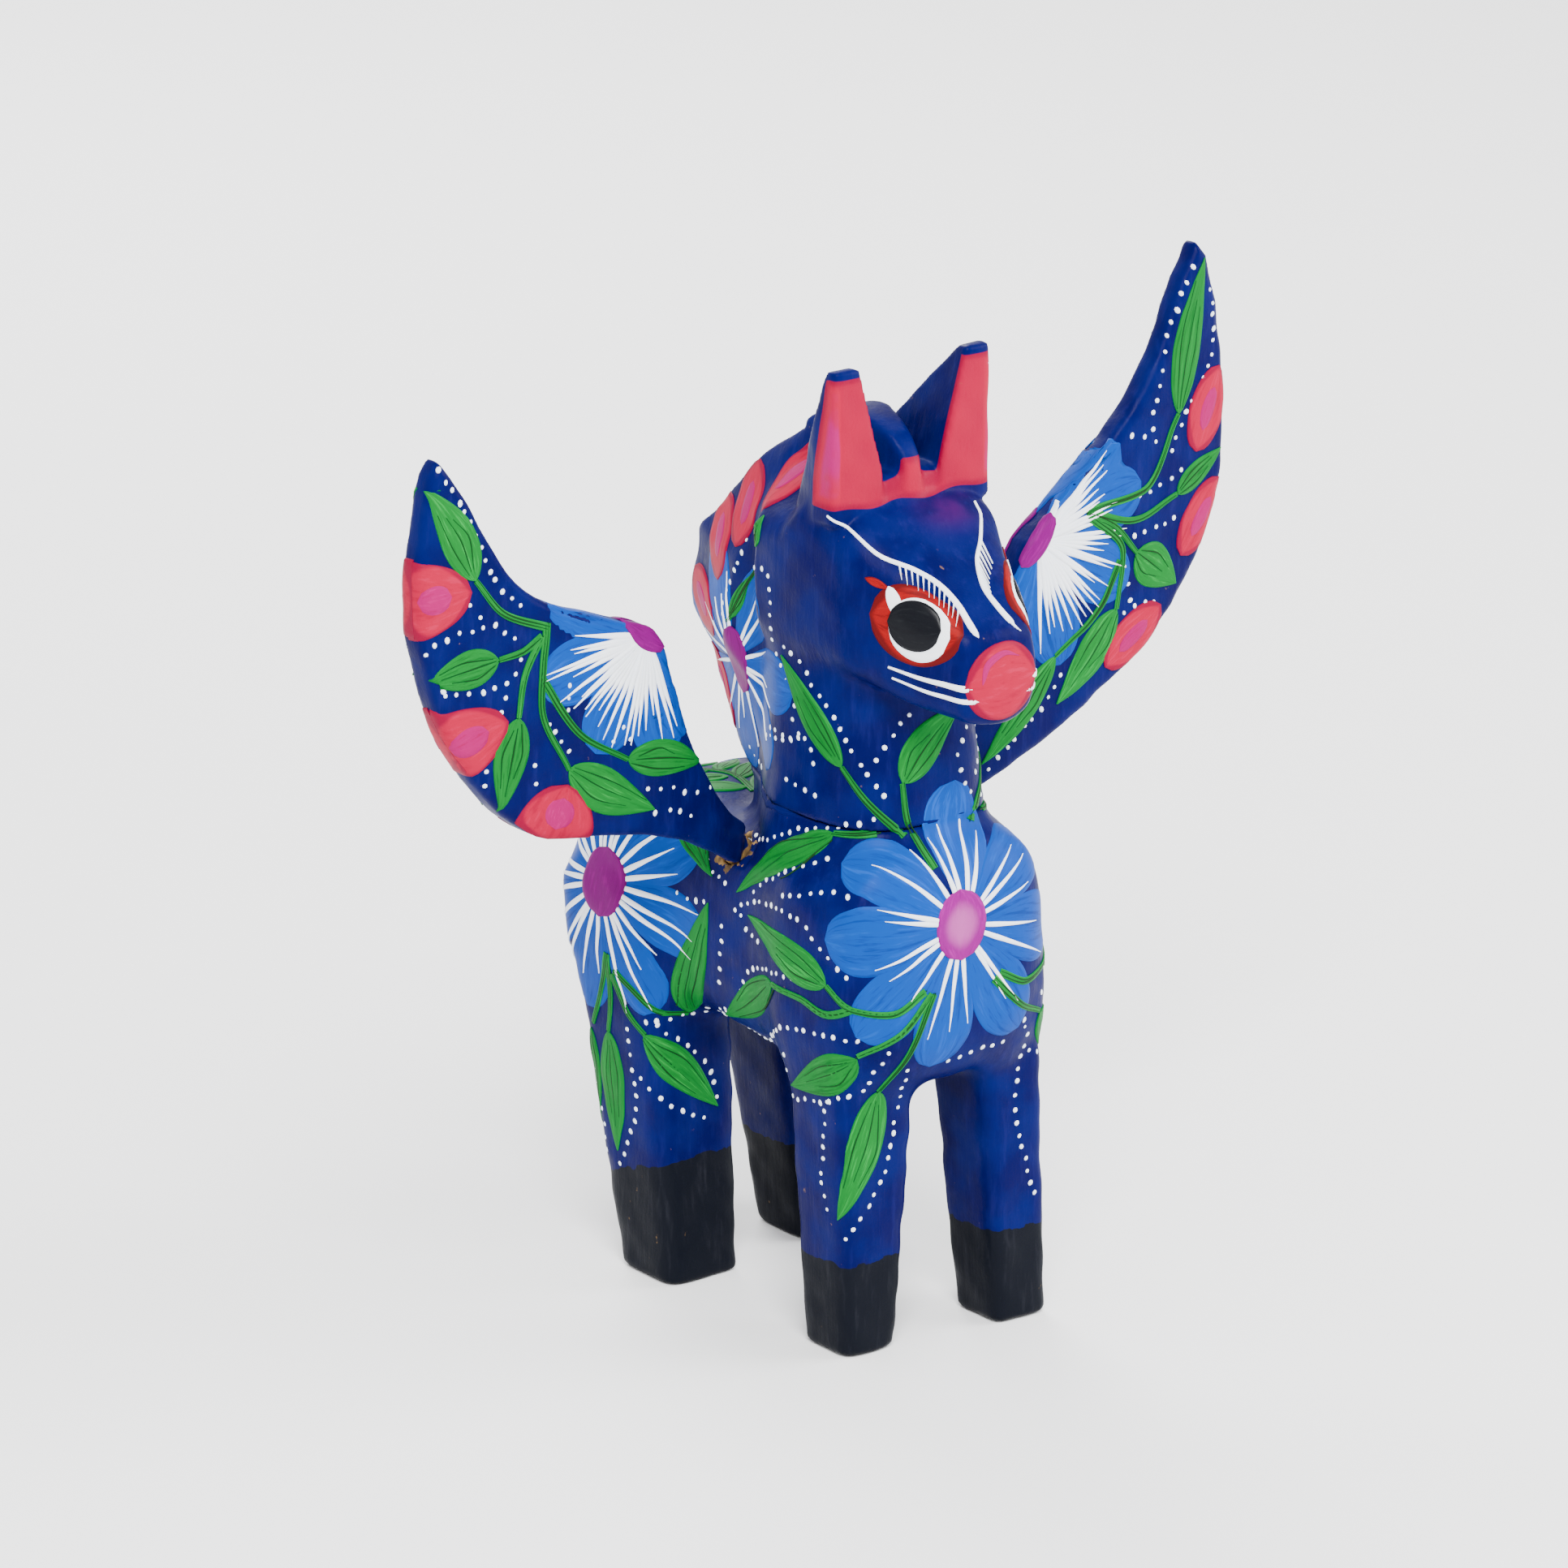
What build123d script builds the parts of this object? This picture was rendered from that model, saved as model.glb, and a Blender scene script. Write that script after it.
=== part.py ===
from build123d import *
import os

# A carved and painted wooden winged horse. Millimetres, +Z up, the horse looks along -Y,
# its own left side is +X. Every section is measured from the girth line (Y = 0) and the
# finished pieces are moved so that the origin is on the floor under the middle of the box.
os.makedirs("parts", exist_ok=True)

GIRTH_TO_BOX_MIDDLE = Vector(-0.35, 7.35, 0.0)

# torso: Y, lowest Z, highest Z, half width, corner radius
TORSO_SECTIONS = [
    (-26.5, 42.0, 63.5, 11.0, 5.0),
    (-23.0, 37.0, 68.5, 16.0, 6.0),
    (-12.0, 35.0, 70.0, 17.6, 6.0),
    (3.0, 36.5, 66.0, 15.0, 6.0),
    (16.0, 36.5, 64.8, 16.6, 6.0),
    (28.0, 36.0, 65.6, 18.4, 6.0),
    (37.5, 38.5, 62.0, 17.0, 6.0),
    (42.0, 43.5, 57.0, 13.0, 5.0),
]

# legs: top centre, top size, foot centre, foot size, height where the leg ends in the torso
FRONT_LEG_TOP = (10.4, -15.4)
FRONT_LEG_TOP_SIZE = (12.6, 14.0)
FRONT_FOOT_SIZE = (8.4, 9.4)
RIGHT_FRONT_FOOT = (-10.4, -16.4)
LEFT_FRONT_FOOT = (13.0, -18.8)
FRONT_LEG_END = 53.0
HIND_LEG_TOP = (10.4, 29.5)
HIND_LEG_TOP_SIZE = (15.4, 20.0)
HIND_FOOT_SIZE = (11.8, 12.0)
RIGHT_HIND_FOOT = (-12.2, 19.0)
LEFT_HIND_FOOT = (12.4, 21.5)
HIND_LEG_END = 53.0
LEG_CORNER = 2.0

# neck and nape: Z, front Y, back Y, half width, corner radius
SEAM_Z = 71.5
STUMP_SECTIONS = [
    (58.0, -22.5, 11.5, 13.6, 6.0),
    (SEAM_Z, -21.4, 12.6, 12.6, 6.0),
]
NECK_SECTIONS = [
    (SEAM_Z, -21.4, 12.6, 12.6, 6.0),
    (80.0, -20.2, 16.2, 12.2, 6.0),
    (92.0, -19.6, 20.4, 12.2, 6.0),
    (104.0, -17.2, 18.0, 12.8, 5.5),
    (113.0, -15.4, 10.5, 12.6, 5.0),
    (118.0, -15.2, 4.0, 10.5, 4.0),
]

# head: Y, lowest Z, highest Z, half width, corner radius
HEAD_SECTIONS = [
    (-35.0, 88.8, 99.8, 5.4, 4.6),
    (-31.0, 88.6, 102.6, 7.2, 4.6),
    (-22.0, 89.8, 109.5, 10.4, 4.8),
    (-15.2, 91.0, 114.2, 12.2, 5.0),
    (-6.0, 91.5, 115.5, 12.2, 5.0),
]

# ears: corners at the base and at the flat tip, as distance from the middle plane and Y
EAR_BASE_Z = 111.0
EAR_BASE = [(3.8, -15.6), (12.4, -15.6), (12.4, -9.5), (8.6, 4.0)]
EAR_TIP_Z = 132.8
EAR_TIP = [(8.6, -15.6), (12.6, -15.6), (12.6, -14.4), (9.6, -13.6)]

# mane crest: a thick plate on the middle plane, outline as Y, Z
CREST_HALF_WIDTH = 3.8
CREST_FRONT = (-15.4, 118.6)
CREST_TOP = [(-15.4, 118.6), (-12.5, 122.6), (-5.3, 124.4), (3.0, 120.2), (12.9, 113.4), (24.6, 102.0)]
CREST_BACK = [(24.6, 102.0), (26.8, 93.6), (22.0, 85.8), (17.4, 76.6), (13.0, SEAM_Z)]
CREST_HEART = (-6.0, 96.0)

# neck dowel
DOWEL_RADIUS = 3.0
DOWEL_Y = -5.0
DOWEL_LOW_Z = 59.5
DOWEL_HIGH_Z = 83.5

# filler bead round the neck seam
FILLER_PROUD = 0.9
FILLER_INSIDE = 0.15
FILLER_HALF_HEIGHT = 1.2

# wings: thickness of the blade and its line in plan (distance from the middle plane, Y)
WING_THICKNESS = 5.0
WING_PLAN = [(8.0, 8.2), (12.5, 5.8), (20.0, 2.6), (29.0, 1.0), (46.0, 1.2), (72.0, 3.0)]
WING_CUT_Y = 14.0
WING_CUT_LOW_Z = 55.0
WING_CUT_HIGH_Z = 142.0
# outlines as distance from the middle plane and Z: under, outer, upper and inner edge
RIGHT_UNDER = [(13.2, 61.4), (18.6, 64.8), (29.4, 70.0), (46.8, 73.2), (58.4, 82.8)]
RIGHT_OUTER = [(58.4, 82.8), (64.9, 98.0), (66.4, 109.0), (65.0, 119.1), (63.2, 126.6)]
RIGHT_UPPER = [(63.2, 126.6), (59.4, 121.9), (52.8, 109.9), (42.4, 101.9), (30.6, 98.0)]
RIGHT_INNER = [(30.6, 98.0), (27.4, 91.0), (23.8, 81.6), (17.0, 71.2), (10.6, 65.8)]
LEFT_UNDER = [(13.2, 61.4), (19.4, 64.2), (29.4, 68.6), (45.4, 76.8), (56.4, 85.4)]
LEFT_OUTER = [(56.4, 85.4), (63.7, 97.9), (65.7, 112.0), (64.2, 124.4), (60.9, 135.2)]
LEFT_UPPER = [(60.9, 135.2), (57.4, 128.8), (50.9, 114.3), (41.8, 105.8), (30.6, 98.0)]
LEFT_INNER = [(30.6, 98.0), (27.4, 91.0), (23.8, 81.6), (17.0, 71.2), (10.6, 65.8)]

# wing tenon and its socket
TENON_RADIUS = 2.1
TENON_LENGTH = 8.6
TENON_CLEARANCE = 0.12
SOCKET_EXTRA_DEPTH = 0.6
WING_SEAT = (12.4, 6.0, 63.2)
WING_SEAT_RADIUS = 6.2
SEAT_GAP = 0.12
SEAT_CLEARANCE_HEIGHT = 9.0

# tail and its peg: rump seat, direction out of the rump, then the hanging part as
# Z, middle Y, half width, half depth
TAIL_SEAT = (0.0, 40.6, 52.0)
TAIL_DIRECTION = (0.0, 0.866, 0.5)
TAIL_SEAT_RADIUS = 4.2
TAIL_STUB_RADIUS = 2.9
TAIL_STUB_LENGTH = 5.0
TAIL_SECTIONS = [
    (55.8, 44.8, 2.4, 1.6),
    (51.5, 45.8, 4.0, 2.7),
    (43.0, 46.5, 4.6, 2.9),
    (34.0, 46.2, 4.2, 2.7),
    (26.0, 45.8, 2.8, 2.1),
    (20.0, 46.2, 1.0, 1.0),
]


def upright_section(y, low, high, half_width, corner):
    """A rounded rectangle standing across the Y axis."""
    plane = Plane(origin=(0, y, (low + high) / 2), x_dir=(1, 0, 0), z_dir=(0, -1, 0))
    return plane * RectangleRounded(2 * half_width, high - low, corner)


def level_section(z, front, back, half_width, corner):
    """A rounded rectangle lying level at height z."""
    plane = Plane(origin=(0, (front + back) / 2, z))
    return plane * RectangleRounded(2 * half_width, back - front, corner)


def leg(side, top, top_size, foot, foot_size, end):
    """One straight tapered leg, from the floor into the torso."""
    low = Plane(origin=(foot[0], foot[1], 0)) * RectangleRounded(*foot_size, LEG_CORNER)
    high = Plane(origin=(side * top[0], top[1], end)) * RectangleRounded(*top_size, LEG_CORNER)
    return loft([low, high])


def along(point, direction, distance):
    """The point at a distance from point along a unit direction."""
    return Vector(*point) + Vector(*direction) * distance


def peg(seat, direction, radius, start, end):
    """A round peg or hole on a seat's axis, from start to end along it."""
    base = Plane(origin=along(seat, direction, start), z_dir=direction)
    return extrude(base * Circle(radius), end - start)


def wing_seat(side):
    """Middle of a wing's seat on the shoulder, and the direction its tenon leaves in."""
    seat = (side * WING_SEAT[0], WING_SEAT[1], WING_SEAT[2])
    direction = Vector(side, 0, 1).normalized()
    return seat, (direction.X, direction.Y, direction.Z)


def body_block():
    """Torso, four legs and the stump of the neck, carved from one block."""
    torso = loft([upright_section(*row) for row in TORSO_SECTIONS])
    stump = loft([level_section(*row) for row in STUMP_SECTIONS])
    solid = torso + stump
    for side, foot in ((-1, RIGHT_FRONT_FOOT), (1, LEFT_FRONT_FOOT)):
        solid += leg(side, FRONT_LEG_TOP, FRONT_LEG_TOP_SIZE, foot, FRONT_FOOT_SIZE, FRONT_LEG_END)
    for side, foot in ((-1, RIGHT_HIND_FOOT), (1, LEFT_HIND_FOOT)):
        solid += leg(side, HIND_LEG_TOP, HIND_LEG_TOP_SIZE, foot, HIND_FOOT_SIZE, HIND_LEG_END)
    solid -= dowel()
    for side in (-1, 1):
        seat, direction = wing_seat(side)
        solid -= socket(seat, direction, WING_SEAT_RADIUS)
    return solid - socket(TAIL_SEAT, TAIL_DIRECTION, TAIL_SEAT_RADIUS)


def socket(seat, direction, seat_radius):
    """The hole for a peg, with the flat that is pared round its mouth."""
    depth = TENON_LENGTH + SOCKET_EXTRA_DEPTH
    hole = peg(seat, direction, TENON_RADIUS + TENON_CLEARANCE, -depth, SEAT_CLEARANCE_HEIGHT)
    return hole + peg(seat, direction, seat_radius, 0, SEAT_CLEARANCE_HEIGHT)


def dowel():
    """The glued pin that holds the neck on the body."""
    base = Plane(origin=(0, DOWEL_Y, DOWEL_LOW_Z))
    return extrude(base * Circle(DOWEL_RADIUS), DOWEL_HIGH_Z - DOWEL_LOW_Z)


def crest():
    """The mane and forelock, a plate along the top of the neck."""
    outline = Spline(*CREST_TOP) + Spline(*CREST_BACK)
    outline += Polyline(CREST_BACK[-1], (CREST_HEART[0], SEAM_Z), CREST_HEART, CREST_FRONT)
    face = Plane(origin=(0, 0, 0), x_dir=(0, 1, 0), z_dir=(1, 0, 0)) * make_face(outline)
    return extrude(face, CREST_HALF_WIDTH, both=True)


def ear(side):
    """One ear: flat in front, with a ridge that falls back to the crown."""
    faces = []
    for z, corners in ((EAR_BASE_Z, EAR_BASE), (EAR_TIP_Z, EAR_TIP)):
        outline = Polyline(*[(side * x, y) for x, y in corners], close=True)
        faces.append(Plane(origin=(0, 0, z)) * make_face(outline))
    return loft(faces)


def head_and_neck():
    """Neck, head, ears and mane, carved from a second block."""
    solid = loft([level_section(*row) for row in NECK_SECTIONS])
    solid += loft([upright_section(*row) for row in HEAD_SECTIONS])
    solid += crest()
    for side in (-1, 1):
        solid += ear(side)
    return solid - dowel()


def neck_filler():
    """The bead of putty that hides the seam between the two blocks."""
    front, back, half_width, corner = NECK_SECTIONS[0][1:]
    plane = Plane(origin=(0, (front + back) / 2, SEAM_Z - FILLER_HALF_HEIGHT))
    rings = []
    for proud in (FILLER_PROUD, FILLER_INSIDE):
        size = (2 * (half_width + proud), back - front + 2 * proud)
        rings.append(extrude(plane * RectangleRounded(*size, corner + proud), 2 * FILLER_HALF_HEIGHT))
    return rings[0] - rings[1]


def wing(side, under, outer, upper, inner):
    """One wing: a curved blade cut to its outline, with the tenon that plugs into the shoulder."""
    edge = Spline(*under) + Spline(*outer) + Spline(*upper) + Spline(*inner)
    edge += Line(inner[-1], under[0])
    front = Plane(origin=(0, WING_CUT_Y, 0), x_dir=(1, 0, 0), z_dir=(0, -1, 0))
    outline = extrude(front * make_face(edge), 2 * WING_CUT_Y)
    middle = Spline(*WING_PLAN)
    near, far = middle @ 0, middle @ 1
    half = Vector(0, WING_THICKNESS / 2)
    strip = Pos(half) * middle + Line(far + half, far - half)
    strip += Pos(half * -1) * middle + Line(near + half, near - half)
    base = Plane(origin=(0, 0, WING_CUT_LOW_Z))
    blade = outline & extrude(base * make_face(strip), WING_CUT_HIGH_Z - WING_CUT_LOW_Z)
    seat, direction = wing_seat(1)
    blade -= peg(seat, direction, 4 * WING_SEAT_RADIUS, -SEAT_CLEARANCE_HEIGHT, SEAT_GAP)
    blade += peg(seat, direction, TENON_RADIUS, -TENON_LENGTH, 2 * SEAT_GAP + TENON_RADIUS)
    return blade if side > 0 else mirror(blade, Plane.YZ)


def tail():
    """The hanging tail with its stub and peg; it plugs into the rump."""
    faces = [Plane(origin=(0, y, z)) * Ellipse(half_width, half_depth)
             for z, y, half_width, half_depth in reversed(TAIL_SECTIONS)]
    stub = peg(TAIL_SEAT, TAIL_DIRECTION, TAIL_STUB_RADIUS, SEAT_GAP, TAIL_STUB_LENGTH)
    return loft(faces) + stub + peg(TAIL_SEAT, TAIL_DIRECTION, TENON_RADIUS, -TENON_LENGTH, 2 * SEAT_GAP)


def main():
    pieces = {
        "body_block": body_block(),
        "head_and_neck": head_and_neck(),
        "neck_dowel": dowel(),
        "neck_filler": neck_filler(),
        "wing_right": wing(-1, RIGHT_UNDER, RIGHT_OUTER, RIGHT_UPPER, RIGHT_INNER),
        "wing_left": wing(1, LEFT_UNDER, LEFT_OUTER, LEFT_UPPER, LEFT_INNER),
        "tail": tail(),
    }
    for name, piece in pieces.items():
        export_step(Pos(GIRTH_TO_BOX_MIDDLE * -1) * piece, f"parts/{name}.step")


main()
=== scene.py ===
import math

import bpy
import numpy as np
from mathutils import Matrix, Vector
from mathutils.bvhtree import BVHTree


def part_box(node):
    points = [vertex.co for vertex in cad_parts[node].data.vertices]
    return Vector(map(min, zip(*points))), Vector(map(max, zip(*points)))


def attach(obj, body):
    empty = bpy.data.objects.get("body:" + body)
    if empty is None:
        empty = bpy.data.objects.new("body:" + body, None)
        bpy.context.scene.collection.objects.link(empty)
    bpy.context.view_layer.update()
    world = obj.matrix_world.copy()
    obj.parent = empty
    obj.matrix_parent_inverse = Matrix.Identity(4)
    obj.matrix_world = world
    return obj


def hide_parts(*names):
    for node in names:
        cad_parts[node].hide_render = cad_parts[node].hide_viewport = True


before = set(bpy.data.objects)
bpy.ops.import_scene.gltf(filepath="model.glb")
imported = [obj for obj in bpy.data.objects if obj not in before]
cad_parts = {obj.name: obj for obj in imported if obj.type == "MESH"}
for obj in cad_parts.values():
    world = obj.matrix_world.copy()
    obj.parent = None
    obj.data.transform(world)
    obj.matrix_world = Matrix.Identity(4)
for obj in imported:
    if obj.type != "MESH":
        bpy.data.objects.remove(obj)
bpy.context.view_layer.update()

# A small carved and painted winged horse. The carving functions work in millimetres from the
# girth line, as the CAD model's sections do, and to_frame() brings them into the frame.
MM = 0.001
DOWEL_Y = -5.0
dowel_low, dowel_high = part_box("neck_dowel")
DATUM = np.array([(dowel_low.x + dowel_high.x) / 2 / MM, (dowel_low.y + dowel_high.y) / 2 / MM - DOWEL_Y,
                  0.0])
SEAM_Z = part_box("body_block")[1].z / MM


def to_frame(points):
    """Millimetres from the girth line to metres in the frame."""
    return (np.asarray(points, float) + DATUM) * MM


# ------------------------------------------------------------------ shapes of the two blocks
# Y, highest Z, lowest Z, half width
TORSO = [
    (-27.0, 65.0, 41.0, 12.5), (-22.0, 69.0, 36.6, 16.2), (-12.0, 70.2, 35.2, 17.7), (0.0, 66.4, 36.4, 15.6),
    (12.0, 64.8, 37.2, 15.6), (26.0, 65.8, 36.4, 17.8), (34.0, 64.2, 37.0, 17.3), (42.0, 57.0, 43.5, 12.8),
]
TORSO_ENDS = (-26.6, 42.0)
# Z, front Y, back Y, half width
NECK = [
    (58.0, -22.8, 12.0, 14.4), (66.0, -22.0, 12.3, 13.4), (72.0, -21.2, 13.0, 12.6), (78.0, -20.6, 14.8,
                                                                                      12.2),
    (86.0, -19.6, 18.2, 12.0), (94.0, -19.4, 20.4, 12.2), (102.0, -17.6, 19.0, 12.6), (108.0, -16.2, 14.6,
                                                                                       12.8),
    (114.0, -15.4, 8.6, 12.6), (119.0, -15.2, 2.0, 12.2),
]
# Y, highest Z, lowest Z, half width
HEAD = [
    (-36.0, 99.3, 89.2, 5.2), (-33.5, 100.8, 88.7, 5.9), (-28.0, 104.9, 88.9, 8.1), (-22.0, 109.4, 89.9,
                                                                                     10.5),
    (-16.5, 113.8, 91.2, 12.7), (-9.0, 115.8, 91.4, 13.0), (-4.0, 116.2, 91.6, 12.8),
]
# crown of the head behind the band: Y, Z
CROWN = [(-17.0, 118.4), (-14.0, 117.6), (-6.0, 117.4), (1.0, 116.6), (8.0, 112.8), (15.0, 107.0), (22.0,
         100.0)]
# mane crest on the middle plane: top edge as Y, Z and back edge as Z, Y
CREST_TOP = [(-16.5, 118.0), (-14.6, 120.8), (-12.4, 122.6), (-5.3, 124.3), (2.9, 121.2), (8.6, 117.8),
             (12.9, 113.4), (18.8, 107.2), (24.6, 102.4)]
CREST_BACK = [(70.0, 13.4), (74.6, 16.4), (80.0, 19.0), (85.8, 22.0), (90.0, 26.0), (94.0, 26.9),
              (98.0, 25.6), (102.0, 24.4), (107.0, 18.9), (113.4, 12.9), (120.0, 2.9)]
EAR_TIP_Z = 132.8
EAR_SLANT = {-1: 0.42, 1: 0.95}


def smooth_min(a, b, radius):
    """Union of two distance fields with a fillet of about that radius."""
    share = np.clip(0.5 + 0.5 * (b - a) / radius, 0, 1)
    return b * (1 - share) + a * share - radius * share * (1 - share)


def smooth_max(a, b, radius):
    """Intersection of two distance fields with a rounded edge."""
    return -smooth_min(-a, -b, radius)


def profile(t, table, column=1):
    """A smooth curve through a table's column that never overshoots between its rows."""
    x = np.array([row[0] for row in table], float)
    y = np.array([row[column] for row in table], float)
    run, slope = np.diff(x), np.diff(y) / np.diff(x)
    tangent = np.zeros_like(y)
    same_way = slope[:-1] * slope[1:] > 0
    left, right = 2 * run[1:] + run[:-1], run[1:] + 2 * run[:-1]
    safe = np.where(same_way, slope[:-1], 1), np.where(same_way, slope[1:], 1)
    tangent[1:-1] = np.where(same_way, (left + right) / (left / safe[0] + right / safe[1]), 0)
    tangent[0], tangent[-1] = slope[0], slope[-1]
    t = np.clip(t, x[0], x[-1])
    i = np.clip(np.searchsorted(x, t, side="right") - 1, 0, len(run) - 1)
    s = (t - x[i]) / run[i]
    rise = y[i] * (1 + 2 * s) * (1 - s) ** 2 + y[i + 1] * s * s * (3 - 2 * s)
    return rise + run[i] * (tangent[i] * s * (1 - s) ** 2 - tangent[i + 1] * s * s * (1 - s))


def squircle(u, w, half_u, half_w, power):
    """Roughly the distance to a rounded rectangle's section."""
    reach = (np.abs(u / half_u) ** power + np.abs(w / half_w) ** power) ** (1 / power)
    return (reach - 1) * np.minimum(half_u, half_w)


def knife_marks(x, y, z, depth=0.09):
    """The faint unevenness that a knife and sandpaper leave."""
    wave = np.sin(x * 0.71 + 1.3 * np.sin(z * 0.23)) * np.sin(z * 0.47 + 0.9 * np.sin(y * 0.31 + 1.0))
    ripple = np.sin(y * 0.83 + 0.7 * np.sin(x * 0.37 + 2.0)) * np.sin(z * 1.13 + x * 0.9)
    return depth * (wave + 0.6 * ripple)


def torso(x, y, z):
    high, low, half = (profile(y, TORSO, column) for column in (1, 2, 3))
    section = squircle(x, z - (high + low) / 2, half, (high - low) / 2, 3.6)
    return smooth_max(section, np.maximum(TORSO_ENDS[0] - y, y - TORSO_ENDS[1]), 4.5)


def leg(x, y, z, top, top_size, foot, foot_size, end):
    """A straight leg, tapered and nearly square, with a flat sole."""
    t = np.clip(z / end, 0, 1)
    middle_x, middle_y = foot[0] + (top[0] - foot[0]) * t, foot[1] + (top[1] - foot[1]) * t
    half_x = (foot_size[0] + (top_size[0] - foot_size[0]) * t) / 2
    half_y = (foot_size[1] + (top_size[1] - foot_size[1]) * t) / 2
    section = squircle(x - middle_x, y - middle_y, half_x, half_y, 5.5)
    return smooth_max(smooth_max(section, 0.14 - z, 0.9), z - end, 4.0)


def over_crown(x, y, z):
    """Height over the top of the head, which is pared away behind the ears on both sides of the mane."""
    bevel = 0.9 * np.clip(np.abs(x) - 4.0, 0, 9) * np.clip((y + 12.5) / 8, 0, 1)
    return z - profile(y, CROWN) + bevel


def neck(x, y, z):
    """The column of the neck, narrowing backwards into the mane."""
    front, back, half = (profile(z, NECK, column) for column in (1, 2, 3))
    step = np.clip((y + 4.0) / 15.0, 0, 1)
    narrowing = 1 - 0.42 * step * step * (3 - 2 * step)
    section = squircle(x, y - (front + back) / 2, half * narrowing, (back - front) / 2, 3.2)
    return smooth_max(section, np.maximum(over_crown(x, y, z), 56.0 - z), 2.0)


def head(x, y, z):
    high, low, half = (profile(y, HEAD, column) for column in (1, 2, 3))
    section = squircle(x, z - (high + low) / 2, half, (high - low) / 2, 4.2)
    muzzle = smooth_max(section, np.maximum(np.maximum(-34.0 - y, y - 2.0), over_crown(x, y, z)), 1.4)
    disc = squircle(np.hypot(x, z - 94.1), y + 32.75, 5.9, 1.9, 2.8)
    return smooth_min(muzzle, disc, 0.7)


def ear(x, y, z, side):
    """Flat coral front, narrow outer edge, and a ridge that slants back to the crown."""
    x = x * side
    climb = (z - 118.0) / (EAR_TIP_Z - 118.0)
    outer = x - (12.7 - 0.2 * climb) + 0.28 * np.maximum(0, y + 11.2)
    inner = (4.6 + 4.0 * np.clip(climb, 0, 1) + 0.10 * (y + 15.6)) - x
    front = -15.7 - y + 0.25 * np.maximum(0, x - 11.4)
    back = 0.78 * (y - (-13.6 + (EAR_TIP_Z - z) * EAR_SLANT[side]))
    shape = smooth_max(smooth_max(outer, inner, 0.6), smooth_max(front, back, 0.8), 0.5)
    return smooth_max(smooth_max(shape, z - EAR_TIP_Z, 0.5), 112.0 - z, 1.0)


def crest(x, y, z):
    """The forelock and mane, a plate with a scalloped rim."""
    along = np.arctan2(z - 92.0, y - 2.0)
    scallop = 0.55 * np.abs(np.sin(along * 7.0 + 0.4)) * (z < 116)
    depth = -np.maximum(z - profile(y, CREST_TOP), y - profile(z, CREST_BACK))
    half = 1.3 + 2.1 * np.clip((y + 15.5) / 9, 0, 1) + 1.5 * np.clip((y + 2) / 16, 0, 1)
    half = half + 0.36 * np.clip(depth - 1.0, 0, 14) * np.clip((y + 2) / 7, 0, 1)
    shape = smooth_max(0.85 * (np.abs(x) - half), y - profile(z, CREST_BACK) + scallop, 1.3)
    shape = smooth_max(shape, z - profile(y, CREST_TOP) + scallop, 1.0)
    return smooth_max(shape, np.maximum(-15.9 - y, 60 - z), 0.8)


def stump_and_neck(x, y, z):
    shape = smooth_min(neck(x, y, z), head(x, y, z), 1.6)
    shape = smooth_min(shape, crest(x, y, z), 0.9)
    for side in (-1, 1):
        shape = smooth_min(shape, ear(x, y, z, side), 0.6)
    return shape


WING_SEAT = {-1: (-12.4, 6.0, 63.2), 1: (12.4, 6.0, 63.2)}
TAIL_SEAT = (0.0, 40.6, 52.0)
TAIL_DIRECTION = (0.0, 0.866, 0.5)
PEG_RADIUS = 2.1
PEG_LENGTH = 8.6
HOLE_RADIUS = 2.25


def along_and_off(x, y, z, seat, direction):
    """Height over a seat along its peg's axis, and distance from that axis."""
    dx, dy, dz = x - seat[0], y - seat[1], z - seat[2]
    height = dx * direction[0] + dy * direction[1] + dz * direction[2]
    return height, np.sqrt(np.maximum(dx * dx + dy * dy + dz * dz - height * height, 0))


def wing_direction(side):
    return (side * math.sqrt(0.5), 0.0, math.sqrt(0.5))


def socketed(shape, x, y, z, seat, direction, flat_radius):
    """A hole for a peg, with a small pared flat at its mouth."""
    height, off = along_and_off(x, y, z, seat, direction)
    hole = smooth_max(off - HOLE_RADIUS, -PEG_LENGTH - 0.6 - height, 0.3)
    flat = smooth_max(off - flat_radius, -height, 0.3)
    return smooth_max(shape, -np.minimum(hole, flat), 0.3)


# legs, right then left: top centre, top size, foot centre
FRONT_LEGS = (((-9.5, -15.4), (14.6, 14.2), (-10.5, -16.5)), ((11.3, -15.4), (11.0, 14.2), (13.0, -18.8)))
HIND_LEGS = (((-10.4, 29.0), (15.6, 20.4), (-12.2, 19.0)), ((10.4, 29.0), (15.6, 20.4), (12.4, 21.5)))
FRONT_FOOT_SIZE, HIND_FOOT_SIZE = (8.8, 9.8), (12.0, 12.2)
LEG_END = 53.0
FRONT_LEG_FILLET, HIND_LEG_FILLET, NECK_FILLET = 3.0, 3.4, 2.6
SEAM_GAP, SEAM_ROUNDING = 0.05, 0.35
WING_FLAT_RADIUS, TAIL_FLAT_RADIUS = 4.4, 3.4


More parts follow.
